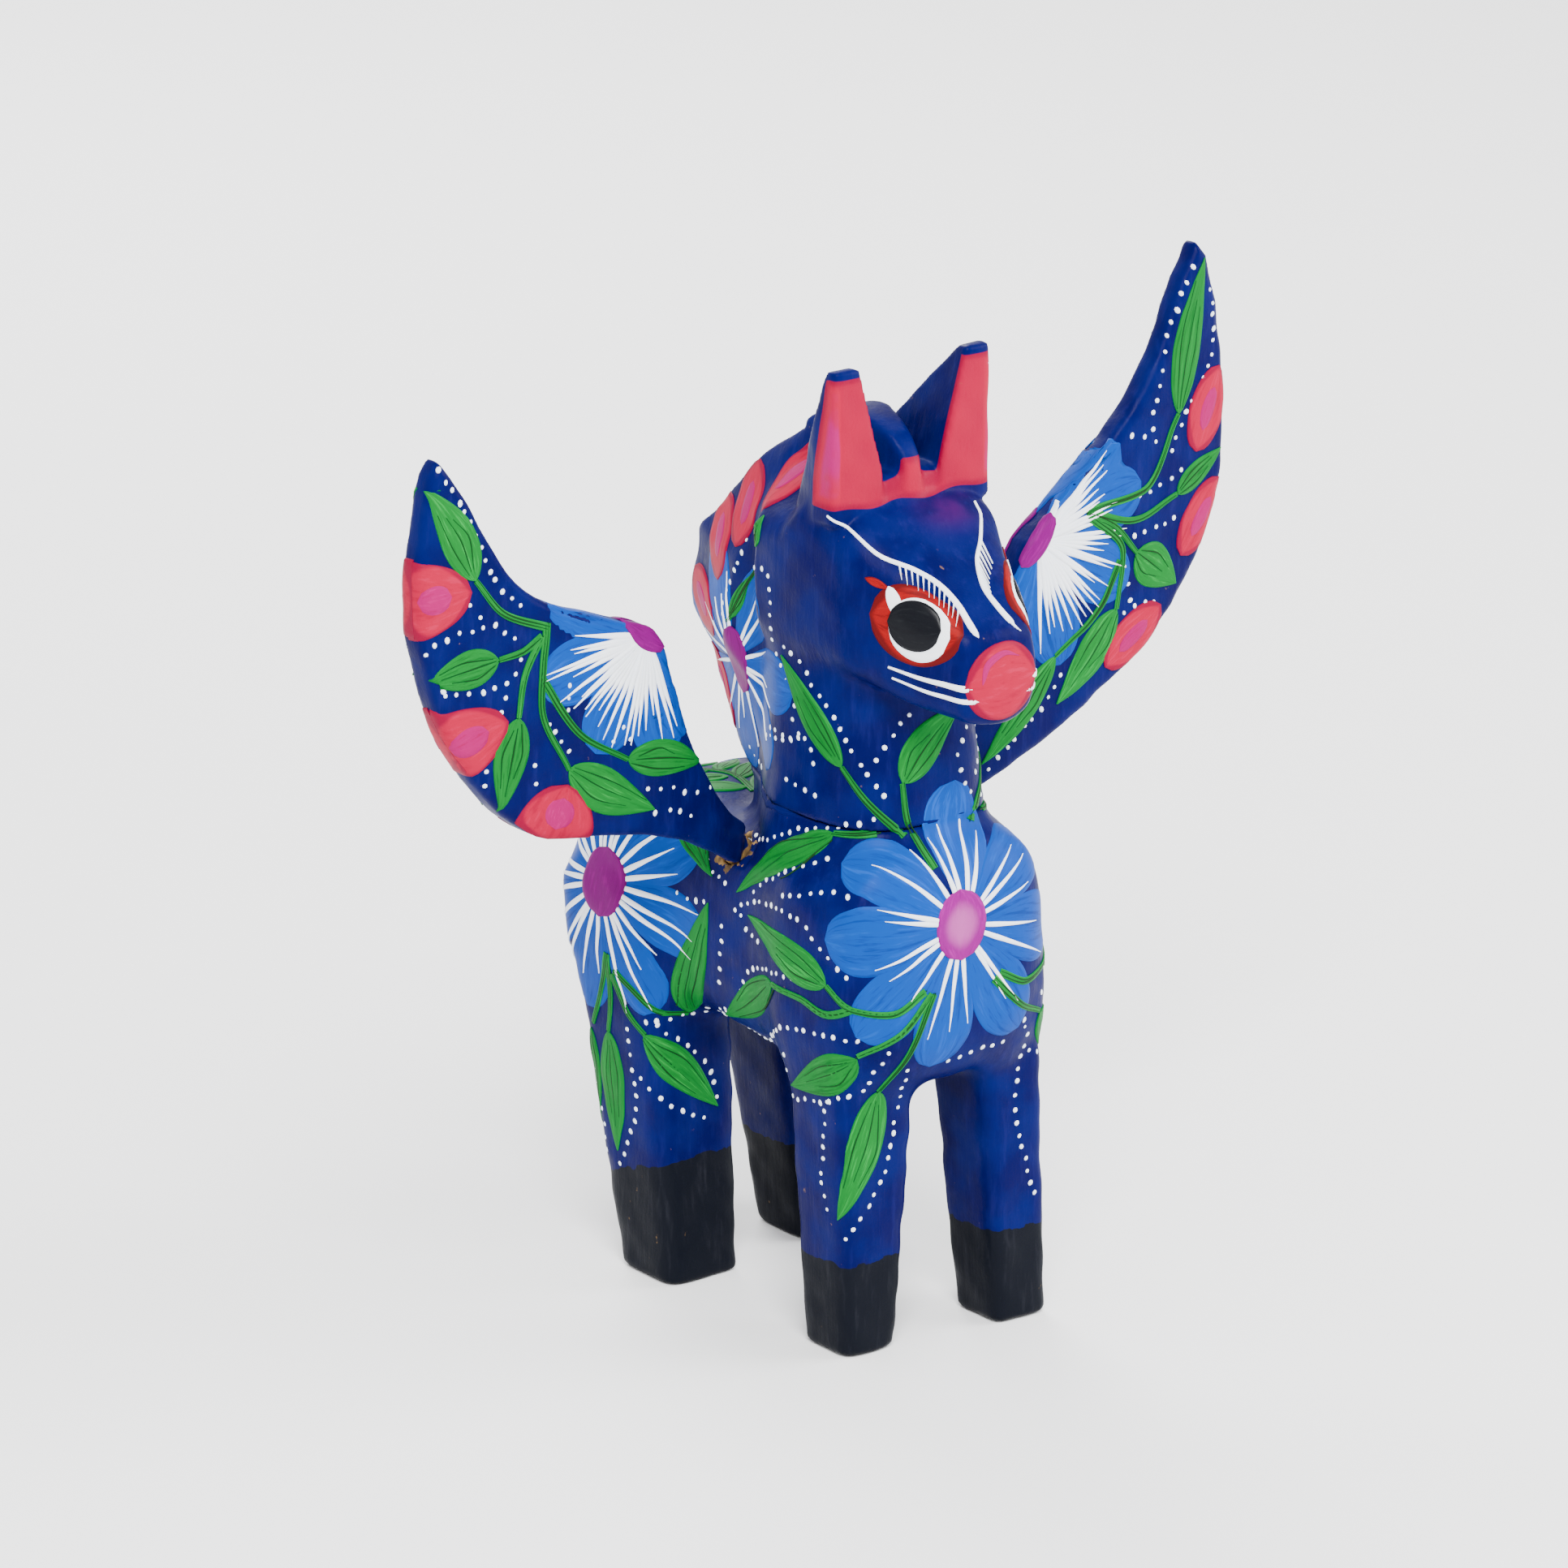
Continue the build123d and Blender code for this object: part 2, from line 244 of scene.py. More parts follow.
def body_field(x, y, z):
    """Torso, four legs and the neck's stump, up to the seam."""
    shape = torso(x, y, z)
    for top, size, foot in FRONT_LEGS:
        post = leg(x, y, z, top, size, foot, FRONT_FOOT_SIZE, LEG_END)
        shape = smooth_min(shape, post, FRONT_LEG_FILLET)
    for top, size, foot in HIND_LEGS:
        post = leg(x, y, z, top, size, foot, HIND_FOOT_SIZE, LEG_END)
        shape = smooth_min(shape, post, HIND_LEG_FILLET)
    shape = smooth_min(shape, stump_and_neck(x, y, z), NECK_FILLET) + knife_marks(x, y, z)
    shape = smooth_max(shape, z - SEAM_Z + SEAM_GAP, SEAM_ROUNDING)
    for side in (-1, 1):
        shape = socketed(shape, x, y, z, WING_SEAT[side], wing_direction(side), WING_FLAT_RADIUS)
    return socketed(shape, x, y, z, TAIL_SEAT, TAIL_DIRECTION, TAIL_FLAT_RADIUS)


def head_field(x, y, z):
    """Neck, head, ears and mane, down to the seam."""
    shape = smooth_min(torso(x, y, z), stump_and_neck(x, y, z), NECK_FILLET) + knife_marks(x, y, z, 0.07)
    return smooth_max(shape, SEAM_Z + SEAM_GAP - z, SEAM_ROUNDING)


# ------------------------------------------------------------------ wings and tail
# plan line: distance from the middle plane, Y of the blade's middle
WING_LINE = [(8.0, 8.2), (12.5, 5.8), (20.0, 2.6), (29.0, 1.0), (46.0, 1.2), (72.0, 3.0)]
WING_UNDER = {-1: [(13.2, 61.4), (18.6, 64.8), (29.4, 70.0), (40.0, 72.2), (46.8, 73.2), (53.0, 76.6),
                   (58.4, 82.8)],
              1: [(13.2, 61.4), (19.4, 64.2), (29.4, 68.6), (38.0, 72.6), (45.4, 76.8), (51.2, 80.4), (56.4,
                  85.4)]}
WING_OUTER = {-1: [(58.4, 82.8), (62.6, 90.4), (64.9, 98.0), (66.2, 105.0), (66.2, 111.0), (65.0, 119.1),
                   (63.4, 126.3)],
              1: [(56.4, 85.4), (60.6, 91.0), (63.7, 97.9), (65.4, 105.0), (65.6, 112.0), (64.4, 124.4),
                  (61.6, 135.0)]}
WING_UPPER = {-1: [(62.6, 126.3), (59.4, 121.9), (55.8, 115.2), (52.0, 109.2), (47.6, 105.4), (42.0, 102.8),
                   (30.8, 98.8)],
              1: [(60.4, 134.8), (57.0, 128.8), (53.4, 121.0), (49.2, 114.8), (44.4, 109.9), (39.6, 106.1),
                  (30.8, 98.8)]}
WING_INNER = [(30.8, 98.8), (28.6, 95.2), (27.4, 91.0), (23.8, 81.6), (17.0, 71.2), (10.6, 65.8)]
WING_HALF_THICKNESS = 2.35


def outline_of(side):
    """The wing's outline as a closed ring of points, each edge rounded by its own curve."""
    ring = []
    for edge in (WING_UNDER[side], WING_OUTER[side], WING_UPPER[side], WING_INNER):
        chord = np.concatenate([[0], np.cumsum(np.hypot(*np.diff(np.array(edge), axis=0).T))])
        steps = np.linspace(0, chord[-1], 24)[:-1]
        ring += list(zip(*(profile(steps, [(c, p[k]) for c, p in zip(chord, edge)]) for k in (0, 1))))
    return np.array(ring)


def ring_distance(u, z, ring):
    """Signed distance in the plane to a closed ring, negative inside."""
    best = np.full(u.shape, 1e9)
    inside = np.zeros(u.shape, bool)
    for (au, az), (bu, bz) in zip(ring, np.roll(ring, -1, axis=0)):
        du, dz = bu - au, bz - az
        t = np.clip(((u - au) * du + (z - az) * dz) / max(du * du + dz * dz, 1e-12), 0, 1)
        best = np.minimum(best, np.hypot(u - au - t * du, z - az - t * dz))
        crosses = (az > z) != (bz > z)
        inside ^= crosses & (u < au + (z - az) * du / (dz if dz else 1e-12))
    return np.where(inside, -best, best)


def wing_field(side):
    """One wing: a bowed blade with bevelled edges, and its whittled peg."""
    def field(x, y, z):
        u = x[:, :1, :] * side
        edge = ring_distance(u, z[:, :1, :], outline_of(side))
        bow = y - profile(u, WING_LINE)
        thin = WING_HALF_THICKNESS - 0.55 * np.clip((z[:, :1, :] - 100) / 34, 0, 1)
        blade = smooth_max(np.abs(bow) - thin, edge, 1.5) + knife_marks(x, y, z, 0.07)
        height, off = along_and_off(x, y, z, WING_SEAT[side], wing_direction(side))
        blade = smooth_max(blade, 0.15 - height, 0.3)
        peg = smooth_max(off - PEG_RADIUS, np.maximum(height - 2.5, -PEG_LENGTH - height), 0.4)
        return smooth_min(blade, peg, 0.3)
    return field


# Z, middle Y, half width, half depth
TAIL = [(19.9, 46.0, 0.9, 0.9), (26.0, 45.6, 2.6, 2.0), (34.0, 46.0, 4.1, 2.5), (43.0, 46.2, 4.5, 2.7),
        (51.5, 45.8, 3.9, 2.5), (56.0, 44.9, 2.4, 1.7)]


def tail_field(x, y, z):
    middle, half_x, half_y = (profile(z, TAIL, column) for column in (1, 2, 3))
    hanging = smooth_max(squircle(x, y - middle, half_x, half_y, 2.3), np.maximum(z - 56.0, 19.9 - z), 1.6)
    height, off = along_and_off(x, y, z, TAIL_SEAT, TAIL_DIRECTION)
    stub = smooth_max(off - 2.85, np.maximum(height - 4.4, 0.15 - height), 0.4)
    peg = smooth_max(off - PEG_RADIUS, np.maximum(height - 1.0, -PEG_LENGTH - height), 0.4)
    return smooth_min(smooth_min(hanging, stub, 1.6), peg, 0.3) + knife_marks(x, y, z, 0.05)


# ------------------------------------------------------------------ from field to mesh
def skin(field, low, high, cell):
    """A closed quad mesh of the field's zero surface, one point in each crossed cell."""
    axes = [np.arange(a, b + cell, cell) for a, b in zip(low, high)]
    values = field(*np.meshgrid(*axes, indexing="ij"))
    inside = values < 0
    size = values.shape
    corners = [(i, j, k) for i in (0, 1) for j in (0, 1) for k in (0, 1)]

    def at(grid, corner):
        return grid[tuple(slice(c, n - 1 + c) for c, n in zip(corner, size))]

    count = sum(at(inside, corner).astype(np.int8) for corner in corners)
    crossed = (count > 0) & (count < 8)
    number = np.full(crossed.shape, -1)
    number[crossed] = np.arange(crossed.sum())
    total, hits = np.zeros((crossed.sum(), 3)), np.zeros(crossed.sum())
    for corner in corners:
        for axis in (axis for axis in range(3) if not corner[axis]):
            other = tuple(1 if k == axis else c for k, c in enumerate(corner))
            a, b = at(values, corner)[crossed], at(values, other)[crossed]
            cut = (a < 0) != (b < 0)
            point = np.tile(np.array(corner, float), (len(a), 1))
            point[:, axis] += np.where(cut, a / np.where(cut, a - b, 1), 0)
            total[cut] += point[cut]
            hits[cut] += 1
    points = (np.argwhere(crossed) + total / hits[:, None]) * cell + np.array(low)
    quads = []
    for axis in range(3):
        u, w = (axis + 1) % 3, (axis + 2) % 3
        lower, upper = [slice(1, -1)] * 3, [slice(1, -1)] * 3
        lower[axis], upper[axis] = slice(0, -1), slice(1, None)
        here, there = inside[tuple(lower)], inside[tuple(upper)]
        for leaves, turn in ((here & ~there, 1), (~here & there, -1)):
            edge = np.argwhere(leaves)
            edge[:, u] += 1
            edge[:, w] += 1
            ring = []
            for du, dw in ((-1, -1), (0, -1), (0, 0), (-1, 0)):
                cell_index = edge.copy()
                cell_index[:, u] += du
                cell_index[:, w] += dw
                ring.append(number[tuple(cell_index.T)])
            quads.append(np.stack(ring, 1)[:, ::turn])
    return points, np.concatenate(quads)


def new_object(name, points, faces, smooth=True):
    """A mesh object from millimetre points, with its place in its mesh."""
    mesh = bpy.data.meshes.new(name)
    mesh.from_pydata(to_frame(points).tolist(), [], np.asarray(faces).tolist())
    mesh.polygons.foreach_set("use_smooth", [smooth] * len(mesh.polygons))
    mesh.update()
    piece = bpy.data.objects.new(name, mesh)
    bpy.context.scene.collection.objects.link(piece)
    return piece


class Carving:
    """A carved piece and its mesh."""

    def __init__(self, name, field, low, high, cell):
        self.points, self.quads = skin(field, low, high, cell)
        self.piece = new_object(name, self.points, self.quads)

    def store(self, name, values):
        """Keeps one number per point for the material to read."""
        layer = self.piece.data.attributes.new(name, "FLOAT", "POINT")
        layer.data.foreach_set("value", np.asarray(values, np.float32))


# ------------------------------------------------------------------ finishes
def paint_of(red, green, blue):
    """A paint by how much red, green and blue light it sends back, in percent."""
    return (red / 100, green / 100, blue / 100, 1.0)


class Finish:
    """A node-based material under construction."""

    def __init__(self, name, roughness=0.42, coat=0.0, shine=0.04):
        self.material = bpy.data.materials.new(name)
        self.material.use_nodes = True
        self.tree = self.material.node_tree
        self.shader = self.tree.nodes["Principled BSDF"]
        self.shader.inputs["Roughness"].default_value = roughness
        self.shader.inputs["Specular IOR Level"].default_value = shine
        self.shader.inputs["Coat Weight"].default_value = coat
        self.shader.inputs["Coat Roughness"].default_value = 0.22
        self.place = self.add("ShaderNodeTexCoord").outputs["Object"]

    def add(self, kind, **settings):
        node = self.tree.nodes.new(kind)
        for key, value in settings.items():
            if key.startswith("in_"):
                label = key[3:]
                socket = node.inputs[int(label) if label.isdigit() else label.replace("_", " ")]
                if isinstance(value, bpy.types.NodeSocket):
                    self.tree.links.new(value, socket)
                else:
                    socket.default_value = value
            else:
                setattr(node, key, value)
        return node

    def scaled(self, x, y, z):
        """Object coordinates stretched by three factors, one per axis."""
        return self.add("ShaderNodeMapping", in_Vector=self.place, in_Scale=(x, y, z)).outputs[0]

    def noise(self, scale, detail=2.0, vector=None, rough=0.5):
        return self.add("ShaderNodeTexNoise", in_Vector=vector or self.place, in_Scale=scale,
                        in_Detail=detail,
                        in_Roughness=rough).outputs["Fac"]

    def ramp(self, value, low, high, out_low=0.0, out_high=1.0):
        return self.add("ShaderNodeMapRange", interpolation_type="SMOOTHSTEP", in_Value=value, in_1=low,
                        in_2=high, in_3=out_low, in_4=out_high).outputs[0]

    def math(self, operation, a, b=0.0):
        return self.add("ShaderNodeMath", operation=operation, in_0=a, in_1=b).outputs[0]

    def mix(self, share, a, b):
        node = self.add("ShaderNodeMix", data_type="RGBA")
        for index, value in ((0, share), (6, a), (7, b)):
            if isinstance(value, bpy.types.NodeSocket):
                self.tree.links.new(value, node.inputs[index])
            else:
                node.inputs[index].default_value = value
        return node.outputs[2]

    def attribute(self, name):
        return self.add("ShaderNodeAttribute", attribute_name=name).outputs["Fac"]

    def link(self, socket, name):
        self.tree.links.new(socket, self.shader.inputs[name])

    def bumps(self, *heights, distance=0.0001):
        """Bump from a chain of heights, each a socket and its strength."""
        normal = None
        for height, strength in heights:
            node = self.add("ShaderNodeBump", in_Height=height, in_Strength=strength, in_Distance=distance)
            if normal is not None:
                self.tree.links.new(normal, node.inputs["Normal"])
            normal = node.outputs[0]
        self.link(normal, "Normal")


# The palest of these three blues stands for the varnish's sheen: a painted sheen.
DEEP_BLUE, BLUE, SHEEN_BLUE = paint_of(0.1, 0.05, 4.8), paint_of(0.1, 0.35, 7.4), paint_of(0.9, 1.0, 10.0)
# The third of these, the paler pink for the coral's middle, is a painted highlight.
CORAL, HOT_EDGE, PINK_HIGHLIGHT = paint_of(33, 0.2, 2.9), paint_of(20, 0.02, 2.4), paint_of(30, 0.3, 9.5)
HOOF_BLACK, HOOF_GREY = paint_of(0.35, 0.45, 0.8), paint_of(1.3, 1.4, 2.0)
BARE_WOOD, DARK_WOOD = paint_of(34, 20, 6.5), paint_of(7.6, 4.6, 2.5)


GRAIN = (1.0, 1.0, 0.16)     # the wood's grain runs upright, so its streaks are drawn out in Z


def carved_paint(name):
    """Ultramarine acrylic on carved wood, with the coral, black and bare zones that the attributes mark."""
    f = Finish(name)
    cloud = f.noise(130.0, 3.0)
    streak = f.noise(900.0, 3.0, f.scaled(*GRAIN), 0.6)
    blue = f.mix(f.ramp(cloud, 0.35, 0.68), DEEP_BLUE, BLUE)
    # Paler blue in streaks along the grain: a painted sheen.
    blue = f.mix(f.math("MULTIPLY", f.ramp(streak, 0.48, 0.8), 0.4), blue, SHEEN_BLUE)
    coral_edge = f.attribute("coral_edge")
    inner = f.ramp(coral_edge, 0.15, 1.3)
    # Paler pink in patches deep inside the coral: a painted highlight.
    core = f.math("MULTIPLY", f.ramp(coral_edge, 1.2, 2.2), f.ramp(cloud, 0.4, 0.62))
    coral = f.mix(core, f.mix(inner, HOT_EDGE, CORAL), PINK_HIGHLIGHT)
    haze = f.math("MULTIPLY", f.attribute("violet"), f.ramp(cloud, 0.3, 0.6))
    blue = f.mix(haze, blue, paint_of(3.4, 0.1, 6.6))
    colour = f.mix(f.ramp(coral_edge, -0.05, 0.05), blue, coral)
    hoof_line = f.math("ADD", f.attribute("hoof"), f.ramp(f.noise(420.0, 2.0), 0.3, 0.7, -0.35, 0.35))
    black = f.mix(f.ramp(streak, 0.5, 0.9), HOOF_BLACK, HOOF_GREY)
    colour = f.mix(f.ramp(hoof_line, -0.06, 0.06), colour, black)
    bare = f.ramp(f.math("ADD", f.attribute("bare"), f.ramp(f.noise(700.0, 4.0), 0.2, 0.8, -0.5, 0.5)),
                  0.45, 0.55)
    colour = f.mix(bare, colour, f.mix(f.ramp(streak, 0.3, 0.7), BARE_WOOD, DARK_WOOD))
    f.link(colour, "Base Color")
    f.link(f.ramp(f.noise(260.0, 3.0), 0.3, 0.7, 0.32, 0.5), "Roughness")
    pits = f.noise(2600.0, 2.0)
    f.bumps((streak, 0.5), (pits, 0.16), (f.noise(240.0, 2.0), 0.5), distance=0.00012)
    return f.material


# ------------------------------------------------------------------ camera, light, floor
CAMERA_AZIMUTH = math.radians(-37.0)
CAMERA_ELEVATION = math.radians(18.5)
CAMERA_DISTANCE = 1.2
FRAME_WIDTH_AT_ORIGIN = 0.210
CAMERA_SIDE = 0.00717
CAMERA_RISE = 0.0675


def set_camera():
    """A long lens from the front right, a little above."""
    a, e = CAMERA_AZIMUTH, CAMERA_ELEVATION
    back = Vector((math.sin(a) * math.cos(e), -math.cos(a) * math.cos(e), math.sin(e)))
    right = Vector((math.cos(a), math.sin(a), 0))
    up = back.cross(right)
    data = bpy.data.cameras.new("camera")
    data.sensor_width = 36.0
    data.lens = data.sensor_width * CAMERA_DISTANCE / FRAME_WIDTH_AT_ORIGIN
    data.clip_start, data.clip_end = 0.01, 20.0
    camera = bpy.data.objects.new("camera", data)
    bpy.context.scene.collection.objects.link(camera)
    girth = Vector(to_frame((0, 0, 0)))
    camera.location = girth + back * CAMERA_DISTANCE - right * CAMERA_SIDE + up * CAMERA_RISE
    camera.rotation_euler = back.to_track_quat("Z", "Y").to_euler()
    bpy.context.scene.camera = camera


def area_light(name, place, size, power):
    """A soft box aimed at the figure's middle."""
    data = bpy.data.lights.new(name, "AREA")
    data.shape = "DISK"
    data.size, data.energy = size, power
    lamp = bpy.data.objects.new(name, data)
    bpy.context.scene.collection.objects.link(lamp)
    lamp.location = place
    aim = Vector(place) - Vector((0, 0, 0.07))
    lamp.rotation_euler = aim.to_track_quat("Z", "Y").to_euler()


# place and size in metres, power in watts
LAMPS = {"key": ((-0.35, -0.55, 0.75), 0.45, 16.0), "fill": ((0.7, -0.45, 0.45), 0.6, 9.0),
         "rim": ((0.25, 0.7, 0.6), 0.5, 9.0)}
ROOM_STRENGTH = 1.5
FLOOR_REACH = 6.0


def set_stage():
    """A pale floor that fades into a pale room."""
    world = bpy.data.worlds.new("room")
    world.use_nodes = True
    world.node_tree.nodes["Background"].inputs[0].default_value = (1.0, 1.0, 1.0, 1.0)
    world.node_tree.nodes["Background"].inputs[1].default_value = ROOM_STRENGTH
    bpy.context.scene.world = world
    reach = FLOOR_REACH
    mesh = bpy.data.meshes.new("floor")
    corners = [(-reach, -reach, 0), (reach, -reach, 0), (reach, reach, 0), (-reach, reach, 0)]
    mesh.from_pydata(corners, [], [(0, 1, 2, 3)])
    floor = bpy.data.objects.new("floor", mesh)
    bpy.context.scene.collection.objects.link(floor)
    pale = Finish("pale_floor", roughness=0.9)
    pale.link(pale.mix(pale.noise(30.0), paint_of(89, 89, 90), paint_of(91, 91, 91)), "Base Color")
    floor.data.materials.append(pale.material)
    for name, lamp in LAMPS.items():
        area_light(name, *lamp)


# ------------------------------------------------------------------ node trees for the brushwork
class Grower:
    """A geometry node tree under construction, with named inputs."""

    def __init__(self, name, **inputs):
        self.tree = bpy.data.node_groups.new(name, "GeometryNodeTree")
        face = self.tree.interface
        face.new_socket("Geometry", in_out="INPUT", socket_type="NodeSocketGeometry")
        for label, kind in inputs.items():
            face.new_socket(label, in_out="INPUT", socket_type="NodeSocket" + kind)
        face.new_socket("Geometry", in_out="OUTPUT", socket_type="NodeSocketGeometry")
        self.inputs = self.tree.nodes.new("NodeGroupInput").outputs

    def add(self, kind, *links, **settings):
        """A node; links fill its sockets in order, None leaves one alone."""
        node = self.tree.nodes.new(kind)
        for key, value in settings.items():
            setattr(node, key, value)
        for socket, value in zip([s for s in node.inputs if s.enabled], links):
            if isinstance(value, bpy.types.NodeSocket):
                self.tree.links.new(value, socket)
            elif value is not None:
                socket.default_value = value
        return next(s for s in node.outputs if s.enabled)

    def position(self):
        return self.add("GeometryNodeInputPosition")

    def split(self, vector):
        node = self.tree.nodes.new("ShaderNodeSeparateXYZ")
        self.tree.links.new(vector, node.inputs[0])
        return node.outputs

    def nearest(self, surface, value):
        """A vector of the surface, read at the nearest point of it."""
        node = self.tree.nodes.new("GeometryNodeSampleNearestSurface")
        node.data_type = "FLOAT_VECTOR"
        self.tree.links.new(surface, node.inputs["Mesh"])
        self.tree.links.new(value, node.inputs["Value"])
        return node.outputs["Value"]

    def surface(self):
        node = self.tree.nodes.new("GeometryNodeObjectInfo")
        self.tree.links.new(self.inputs["Surface"], node.inputs["Object"])
        return node.outputs["Geometry"]

    def named(self, label):
        node = self.tree.nodes.new("GeometryNodeInputNamedAttribute")
        node.data_type = "FLOAT"
        node.inputs["Name"].default_value = label
        return node.outputs["Attribute"]

    def store(self, geometry, label, value):
        return self.add("GeometryNodeStoreNamedAttribute", geometry, None, label, value, data_type="FLOAT")

    def sum(self, a, b, operation="ADD"):
        return self.add("ShaderNodeMath", a, b, operation=operation)

    def finish(self, geometry):
        """Every tree ends with real geometry and its paint."""
        real = self.add("GeometryNodeRealizeInstances", geometry)
        painted = self.add("GeometryNodeSetMaterial", real, None, self.inputs["Paint"])
        smooth = self.add("GeometryNodeSetShadeSmooth", painted)
        out = self.tree.nodes.new("NodeGroupOutput")
        self.tree.links.new(smooth, out.inputs[0])
        return self.tree


def brush_stroke_tree():
    """Lines with a half width become flat strokes that follow a surface, with a raised middle."""
    g = Grower("brush_stroke", Surface="Object", Lift="Float", Crown="Float", Sink="Float", Sides="Int",
               Paint="Material")
    surface = g.surface()
    curve = g.add("GeometryNodeMeshToCurve", g.inputs["Geometry"])
    curve = g.add("GeometryNodeSetCurveRadius", curve, None, g.named("half_width"))
    outward = g.nearest(surface, g.add("GeometryNodeInputNormal"))
    curve = g.add("GeometryNodeSetCurveNormal", curve, None, outward, mode="FREE")
    ring = g.add("GeometryNodeMeshCircle", g.inputs["Sides"], 1.0)
    rise, across, _ = g.split(g.position())
    ring = g.store(g.store(ring, "rise", rise), "across", across)
    flat = g.add("ShaderNodeVectorMath", g.position(), (0.02, 1.0, 1.0), operation="MULTIPLY")
    ring = g.add("GeometryNodeMeshToCurve", g.add("GeometryNodeSetPosition", ring, None, flat))
    sweep = g.tree.nodes.new("GeometryNodeCurveToMesh")
    g.tree.links.new(curve, sweep.inputs["Curve"])
    g.tree.links.new(ring, sweep.inputs["Profile Curve"])
    g.tree.links.new(g.add("GeometryNodeInputRadius"), sweep.inputs["Scale"])
    sweep.inputs["Fill Caps"].default_value = True
    sunk = g.sum(g.inputs["Sink"], -1.0, "MULTIPLY")
    top = g.sum(g.inputs["Lift"], g.named("order"))
    height = g.add("ShaderNodeMapRange", g.named("rise"), 0.0, 0.3, sunk, top)
    crown = g.sum(g.sum(g.named("rise"), 0.0, "MAXIMUM"), g.inputs["Crown"], "MULTIPLY")
    raised = g.add("ShaderNodeVectorMath", operation="SCALE")
    g.tree.links.new(outward, raised.node.inputs[0])
    g.tree.links.new(g.sum(height, crown), raised.node.inputs["Scale"])
    landed = g.add("ShaderNodeVectorMath", g.nearest(surface, g.position()), raised, operation="ADD")
    return g.finish(g.add("GeometryNodeSetPosition", sweep.outputs[0], None, landed))


def paint_dot_tree():
    """Lines become rows of small domes of thick paint, uneven in size and spacing."""
    g = Grower("paint_dots", Surface="Object", Spacing="Float", Size="Float", Seed="Int", Paint="Material")
    surface = g.surface()
    curve = g.add("GeometryNodeMeshToCurve", g.inputs["Geometry"])
    points = g.tree.nodes.new("GeometryNodeCurveToPoints")
    points.mode = "LENGTH"
    g.tree.links.new(curve, points.inputs["Curve"])
    g.tree.links.new(g.inputs["Spacing"], points.inputs["Length"])

    def chance(low, high, offset, kind="FLOAT"):
        node = g.tree.nodes.new("FunctionNodeRandomValue")
        node.data_type = kind
        pair = [s for s in node.inputs if s.enabled][:2]
        pair[0].default_value, pair[1].default_value = low, high
        g.tree.links.new(g.sum(g.inputs["Seed"], offset), node.inputs["Seed"])
        return next(s for s in node.outputs if s.enabled)

    reach = 0.00024
    jitter = chance((-reach, -reach, -reach), (reach, reach, reach), 1.0, "FLOAT_VECTOR")
    moved = g.add("GeometryNodeSetPosition", points.outputs["Points"], None, None, jitter)
    landed = g.add("GeometryNodeSetPosition", moved, None, g.nearest(surface, g.position()))
    outward = g.nearest(surface, g.add("GeometryNodeInputNormal"))
    turn = g.tree.nodes.new("FunctionNodeAlignRotationToVector")
    turn.axis = "Z"
    g.tree.links.new(points.outputs["Rotation"], turn.inputs["Rotation"])
    g.tree.links.new(outward, turn.inputs["Vector"])
    dome = g.add("GeometryNodeMeshUVSphere", 8, 4, 1.0)
    across = g.sum(g.inputs["Size"], chance(0.82, 1.15, 2.0), "MULTIPLY")
    scale = g.tree.nodes.new("ShaderNodeCombineXYZ")
    g.tree.links.new(across, scale.inputs[0])
    g.tree.links.new(g.sum(across, chance(0.9, 1.35, 3.0), "MULTIPLY"), scale.inputs[1])
    g.tree.links.new(g.sum(across, 0.42, "MULTIPLY"), scale.inputs[2])
    put = g.tree.nodes.new("GeometryNodeInstanceOnPoints")
    for label, socket in (("Points", landed), ("Instance", dome), ("Rotation", turn.outputs[0]),
                          ("Scale", scale.outputs[0])):
        g.tree.links.new(socket, put.inputs[label])
    return g.finish(put.outputs[0])


def grow(piece, tree, **values):
    """Runs a tree on a piece and keeps the result as its plain mesh."""
    step = piece.modifiers.new(tree.name, "NODES")
    step.node_group = tree
    for item in tree.interface.items_tree:
        if item.in_out == "INPUT" and item.name in values:
            step[item.identifier] = values[item.name]
    bpy.context.view_layer.update()
    done = bpy.data.meshes.new_from_object(piece.evaluated_get(bpy.context.evaluated_depsgraph_get()))
    piece.modifiers.remove(step)
    piece.data = done


# ------------------------------------------------------------------ laying paint
def ease(points, count):
    """Evenly spread points on a smooth line through a few given ones."""
    points = np.asarray(points, float)
    chord = np.concatenate([[0], np.cumsum(np.linalg.norm(np.diff(points, axis=0), axis=1))])
    steps = np.linspace(0, chord[-1], count)
    return np.stack([profile(steps, list(zip(chord, points[:, k]))) for k in range(points.shape[1])], 1)


def leaf_shape(t):
    """Half width along a leaf from stem to tip, 0 to 1."""
    return np.sin(np.pi * t ** 0.78) ** 0.85 * (1 - 0.15 * t)


def petal_shape(t):
    return np.where(t < 0.66, 0.16 + 0.84 * np.sin(np.pi / 2 * t / 0.66) ** 1.1,
                    np.sqrt(np.clip(1 - ((t - 0.66) / 0.34) ** 2, 0, 1)))


def oval_shape(t):
    return np.sqrt(np.clip(1 - (2 * t - 1) ** 2, 0, 1))


def ray_shape(t):
    """A flick of the brush: quickly wide, then drawn out to a hair."""
    return np.clip(0.62 + 1.5 * t, 0, 1) * (1 - t) ** 0.75


def stem_shape(t):
    return 0.62 + 0.38 * (1 - t)


def scallop_shape(t):
    """Round at the start and full at the end, for a scallop that turns over an edge."""
    return np.sqrt(np.clip(1 - (1 - t) ** 2, 0, 1))


def swelling_shape(t):
    """A line that starts as a hair and ends in a round blob."""
    return (0.3 + 0.7 * t) * np.sqrt(np.clip(1 - np.clip((t - 0.93) / 0.07, 0, 1) ** 2, 0, 1))


def almond_shape(t):
    return np.sin(np.pi * t ** 0.85) ** 0.62


def even_shape(t):
    return np.full_like(t, 1.0)


